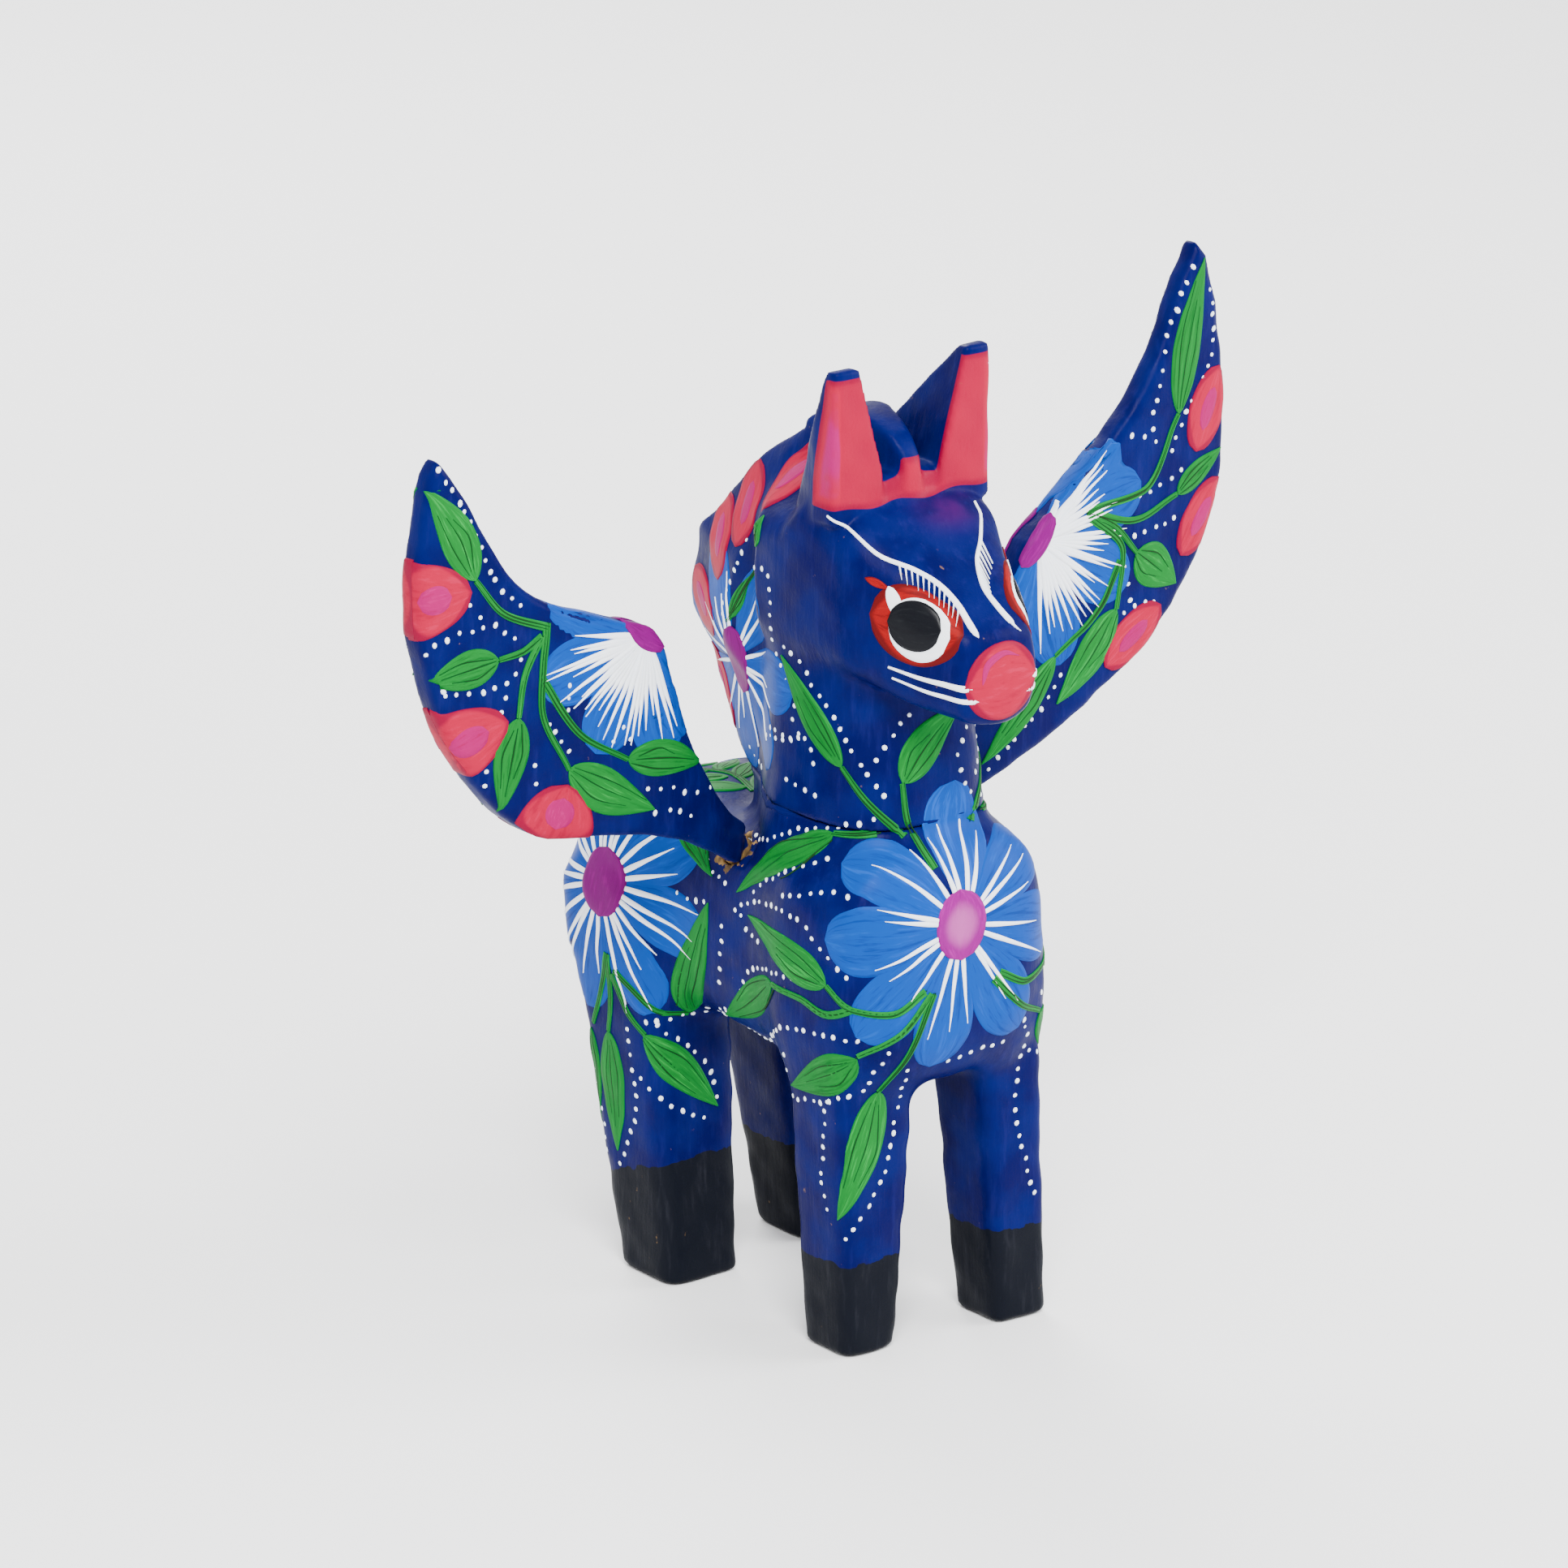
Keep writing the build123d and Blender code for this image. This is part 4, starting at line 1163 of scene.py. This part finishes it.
# ---- the figure: chest, flanks, legs, neck, head and mane
figure = Coat("figure", torso_block, head_block, seed=8)
RIGHT_SIDE, RIGHT_CORNER, LEFT_SIDE, LEFT_CORNER = -90, -37, 90, 37
seam = [figure.land(turn, 0.0, SEAM_Z) for turn in range(58, 303, 4)]
figure.lay("filler", seam, 0.75, lambda t: 0.7 + 0.3 * np.sin(t * 61) * np.sin(t * 23))
figure.brush("petal", 0, [(0.4, 61.0), (1.8, 68.5), (3.2, 76.6)], 4.9, petal_shape)
figure.daisy(0, (-0.3, 59.1), 20.5, (-46, -90, -130, -168, 148, 103, 57), (4.2, 5.2), rays=21,
             ray_length=15.5,
             half=4.9, ray_half=0.55, centre_paint="bloom")
for way in (1, -1):
    side, corner = RIGHT_SIDE * way, RIGHT_CORNER * way
    at = turned(way)

    figure.daisy(side, *at((-27.6, 53.8)), 20.0, [a * way for a in (10, 56, 98, 147, -168, -125, -80, -35)],
                 (4.8, 4.9), rays=26, ray_length=17.0, half=4.7, ray_half=0.6)
    figure.daisy(side, *at((-10.2, 87.5)), 17.0, [a * way for a in (36, 90, 137, -172, -125, -75, -25)],
                 (3.0, 5.2), rays=16, ray_length=11.5, half=4.3, ray_half=0.45)
    # shoulder, front leg and neck, around the corner of the chest
    for base, tip, half, bow in (((-0.7, 70.8), (-13.3, 58.8), 2.6, -1.2), ((-1.7, 52.4), (-11.8, 56.5),
                                 2.9, 0.0),
                                 ((-8.7, 49.6), (-14.8, 40.0), 2.7, 0.3), ((2.3, 42.8), (-6.6, 35.6), 3.1,
                                                                           0.0),
                                 ((0.3, 79.6), (-7.5, 92.2), 2.4, 0.3)):
        figure.leaf(corner, *at(base, tip), half, bow * way)
    for points in (((7.9, 71.9), (4.3, 71.3), (-0.7, 70.8)), ((11.1, 51.2), (6.9, 48.9), (1.6, 49.8), (-1.7,
                   52.4)),
                   ((1.4, 49.8), (-2.0, 48.5), (-5.2, 49.5), (-8.7, 49.6)), ((12.0, 50.6), (8.0, 46.0),
                                                                             (2.3, 43.2)),
                   ((8.4, 70.8), (3.2, 75.8), (0.3, 79.6))):
        figure.stem(corner, *at(*points))
    for points in (((-11.7, 63.8), (-9.9, 66.2), (-8.3, 67.7), (-5.2, 69.8), (-0.4, 71.6), (4.3, 73.2)),
                   ((-11.0, 60.1), (-8.9, 63.0), (-5.7, 65.8), (-1.5, 67.9)),
                   ((-7.5, 61.9), (-4.7, 63.4), (-1.5, 64.4), (0.9, 64.7)),
                   ((-13.7, 56.5), (-11.5, 58.5), (-7.8, 60.0), (-5.2, 59.8), (-3.1, 57.8), (-1.0, 55.4),
                    (0.8, 54.3)),
                   ((-12.9, 55.8), (-12.1, 54.4), (-10.7, 53.5)),
                   ((-15.4, 40.5), (-13.7, 42.6), (-12.1, 48.2), (-9.9, 50.7), (-6.2, 51.9)),
                   ((-17.4, 38.2), (-14.3, 37.8), (-9.6, 38.6), (-7.8, 44.0), (-6.2, 44.8), (-1.0, 45.7),
                    (2.2, 45.5)),
                   ((-6.0, 34.2), (-2.5, 35.5), (0.1, 36.8), (3.3, 37.7), (4.3, 40.2), (6.4, 43.2)),
                   ((-7.3, 93.7), (-5.5, 92.4), (-3.1, 89.1), (0.1, 84.4), (3.2, 79.5), (5.8, 76.4)),
                   ((-8.9, 81.3), (-6.2, 81.3), (-4.7, 82.5), (-3.3, 79.2)), ((-6.8, 75.7), (-3.3, 74.9))):
        figure.dots(corner, *at(*points))
    # rump and hind leg
    for base, tip, half, bow in (((-16.5, 37.2), (-7.9, 55.7), 3.2, -0.8), ((-26.7, 32.9), (-24.7, 16.4),
                                 2.9, 0.0),
                                 ((-19.0, 63.7), (-7.8, 59.3), 1.9, 0.4)):
        figure.leaf(side, *at(base, tip), half, bow * way)
    for points in (((-24.6, 42.3), (-18.9, 39.0), (-16.5, 37.2)), ((-26.0, 44.2), (-26.1, 37.7), (-26.7,
                   32.9)),
                   ((-25.3, 41.5), (-23.0, 37.4), (-18.8, 34.5)), ((-26.0, 44.2), (-28.9, 36.3), (-30.4,
                                                                   33.0))):
        figure.stem(side, *at(*points))
    figure.leaf(corner, *at((-25.8, 34.5), (-16.1, 23.3)), 2.8, 0.4 * way)
    figure.leaf(-125 * way, *at((-15.4, 32.0), (-14.5, 18.5)), 2.4)
    for points in (((-12.0, 63.5), (-10.4, 61.2), (-6.5, 59.6), (-4.7, 59.3)),
                   ((-14.4, 55.3), (-11.0, 55.1), (-8.7, 55.5)), ((-4.7, 53.2), (-5.1, 50.6), (-5.6, 45.3)),
                   ((-20.4, 35.6), (-17.5, 36.7), (-14.0, 37.6), (-9.8, 38.6), (-5.8, 40.9)),
                   ((-22.6, 34.3), (-21.7, 29.7), (-20.8, 25.4), (-20.9, 22.4), (-22.3, 18.8), (-24.1, 14.8)),
                   ((-30.6, 28.3), (-29.4, 22.5), (-28.2, 18.8), (-27.4, 15.4)),
                   ((-8.2, 104.3), (-9.9, 100.2), (-11.8, 96.4), (-12.7, 93.4)),
                   ((-1.3, 102.9), (1.7, 103.1), (2.5, 99.5), (1.6, 94.0), (3.8, 89.7), (7.2, 87.8), (5.6,
                    84.1)),
                   ((-1.6, 79.7), (4.0, 80.7), (7.3, 82.3)), ((-11.1, 74.6), (-6.0, 73.4))):
        figure.dots(side, *at(*points))
    for points in (((-24.1, 36.2), (-21.4, 33.8), (-19.2, 31.6), (-17.1, 28.8), (-16.0, 24.6)),
                   ((-26.3, 28.1), (-24.1, 26.3), (-20.9, 24.3), (-17.8, 22.2))):
        figure.dots(corner, *at(*points))
    # a bud on the neck and the mane's scallops
    figure.stem(side, *at((-11.3, 92.6), (-7.3, 98.8), (-1.8, 105.8)), half=0.4)
    figure.leaf(side, *at((-1.8, 105.6), (-0.6, 110.0)), 1.4)
    figure.leaf(side, *at((-10.9, 93.2), (-6.8, 99.9)), 1.2)
    for place, turn, reach, half in (((-3.6, 109.4), 4, 13.5, 3.8), ((-10.6, 102.8), -5, 12.5, 3.7),
                                     ((-14.8, 97.2), -20, 12.0, 3.6), ((-16.8, 89.0), -48, 11.0, 3.6),
                                     ((-16.3, 75.6), -8, 12.0, 2.8)):
        figure.lobe(side, *at(place), turn * way, reach, half)
    # eye, with the pupil towards the outer corner
    figure.brush("red", corner, at((3.8, 102.0), (9.8, 101.5), (15.7, 100.8)), 5.7, oval_shape, spacing=0.5)
    figure.brush("red", corner, at((3.2, 106.6), (6.5, 105.4)), 0.6, leaf_shape, spacing=0.5)
    figure.brush("eye", corner, at((6.2, 101.2), (10.1, 100.9), (14.0, 100.3)), 4.5, oval_shape, spacing=0.5)
    figure.brush("eye", corner, at((6.2, 105.8), (7.1, 103.6), (8.3, 101.4)), 1.0, almond_shape, spacing=0.4)
    figure.brush("pupil", corner, at((6.2, 101.5), (9.5, 101.3), (12.9, 101.1)), 3.5, oval_shape, spacing=0.4)
    figure.brush("white", corner, at((6.2, 95.2), (10.9, 94.4), (16.8, 94.0)), 0.55, swelling_shape,
                 spacing=0.5)
    figure.brush("white", corner, at((6.7, 93.8), (11.9, 92.7), (17.6, 92.2)), 0.45, swelling_shape,
                 spacing=0.5)
# brows and lashes, a little different on each side
right_brow = [(-1.6, 113.7), (1.5, 111.9), (5.2, 109.2), (9.3, 107.7), (12.4, 106.1), (15.0, 103.8), (16.5,
              101.8),
              (17.6, 100.4)]
left_brow = [(17.4, 112.6), (18.2, 111.0), (18.1, 109.2), (17.6, 107.4), (18.2, 105.2), (20.0, 103.0),
             (22.2, 100.9)]
figure.brush("white", RIGHT_CORNER, right_brow, 0.62, swelling_shape, spacing=0.5)
figure.brush("white", RIGHT_CORNER, left_brow, 0.6, swelling_shape, spacing=0.5)
for k, (h, z) in enumerate(ease(right_brow, 30)[13:25]):
    figure.brush("white", RIGHT_CORNER, [(h, z), (h + 0.35 - 0.07 * k, z - 1.7 - 0.3 * (k % 2))], 0.17,
                 ray_shape, 0.4, 0.04)
for k, (h, z) in enumerate(ease(left_brow, 30)[8:28]):
    figure.brush("white", RIGHT_CORNER, [(h, z), (h + 1.5, z - 2.4 + 0.05 * k)], 0.16, ray_shape, 0.4, 0.04)
# nose disc with a paler swirl over its top, a painted highlight
figure.brush("coral", 0, [(-5.7, 94.2), (0.0, 94.2), (5.7, 94.2)], 5.5, oval_shape, spacing=0.5)
figure.brush("pink", 0, [(-3.4, 94.4), (-2.6, 96.8), (0.2, 98.0), (2.6, 97.2)], 0.6, leaf_shape, spacing=0.5)
# one-sided pieces of the garland
figure.leaf(RIGHT_CORNER, (5.1, 37.4), (-0.1, 19.7), 3.2, bow=0.5)
figure.stem(RIGHT_CORNER, (12.2, 50.6), (9.0, 42.7), (5.1, 37.4))
figure.dots(RIGHT_CORNER, (-1.7, 36.0), (-2.0, 30.8), (-2.3, 23.7), (-1.4, 20.6))
figure.dots(RIGHT_CORNER, (8.9, 40.1), (7.5, 33.4), (6.5, 27.4), (5.4, 23.7), (3.3, 20.4), (0.7, 17.3))
figure.dots(RIGHT_CORNER, (-7.1, 40.1), (-6.7, 37.7))
figure.leaf(RIGHT_CORNER, (8.1, 77.7), (15.5, 86.4), 3.0, bow=0.6)
figure.stem(RIGHT_CORNER, (12.3, 66.8), (8.7, 72.9), (8.1, 77.7))
figure.dots(RIGHT_CORNER, (9.9, 88.0), (8.9, 86.5), (6.5, 83.7), (4.8, 81.1))
figure.dots(RIGHT_CORNER, (16.4, 83.0), (15.4, 79.3), (17.2, 74.3))
figure.dots(0, (-1.0, 40.1), (2.2, 40.6), (7.6, 40.9))
figure.leaf(LEFT_SIDE, (-17.0, 40.0), (-19.0, 22.5), 2.7)
figure.dots(LEFT_CORNER, (-3.6, 37.0), (-4.4, 30.8), (-3.6, 24.0), (-2.0, 17.4))
# over the back and behind
figure.leaf(ABOVE, (-9.6, -15.0), (-12.4, -5.5), 2.1)
figure.leaf(ABOVE, (9.6, -15.0), (12.4, -5.5), 2.1)
figure.stem(ABOVE, (0.0, -18.5), (1.0, -24.0), (-0.6, -30.0), (0.2, -36.0), half=0.6)
for k, y in enumerate((-19.0, -23.0, -27.0, -31.5)):
    figure.leaf(ABOVE, (0.4, y), (8.2 - 0.5 * k, y - 5.0), 1.9)
    figure.leaf(ABOVE, (-0.2, y - 1.0), (-8.0 + 0.5 * k, y - 6.0), 1.9)
for way in (1, -1):
    figure.leaf(180, (5.0 * way, 44.0), (10.5 * way, 58.0), 2.6)
    figure.leaf(180, (4.6 * way, 41.5), (11.5 * way, 31.0), 2.6)
    figure.dots(180, (7.5 * way, 42.6), (12.6 * way, 45.0), (14.0 * way, 52.0))
    figure.dots(ABOVE, (9.6 * way, -15.0), (11.4 * way, -24.0), (9.6 * way, -35.0))
figure.finish()

# ---- the tail
tail = Coat("tail_piece", tail_block, seed=4)
for bearing in (-125, 125):
    for z in (48.0, 39.5, 31.5):
        tail.lobe(bearing, (38.0 if bearing < 0 else -38.0, z), 0, 6.5, 1.7)
tail.dots(180, (0.0, 50.0), (0.3, 40.0), (0.0, 30.0), (0.0, 24.0))
tail.finish()
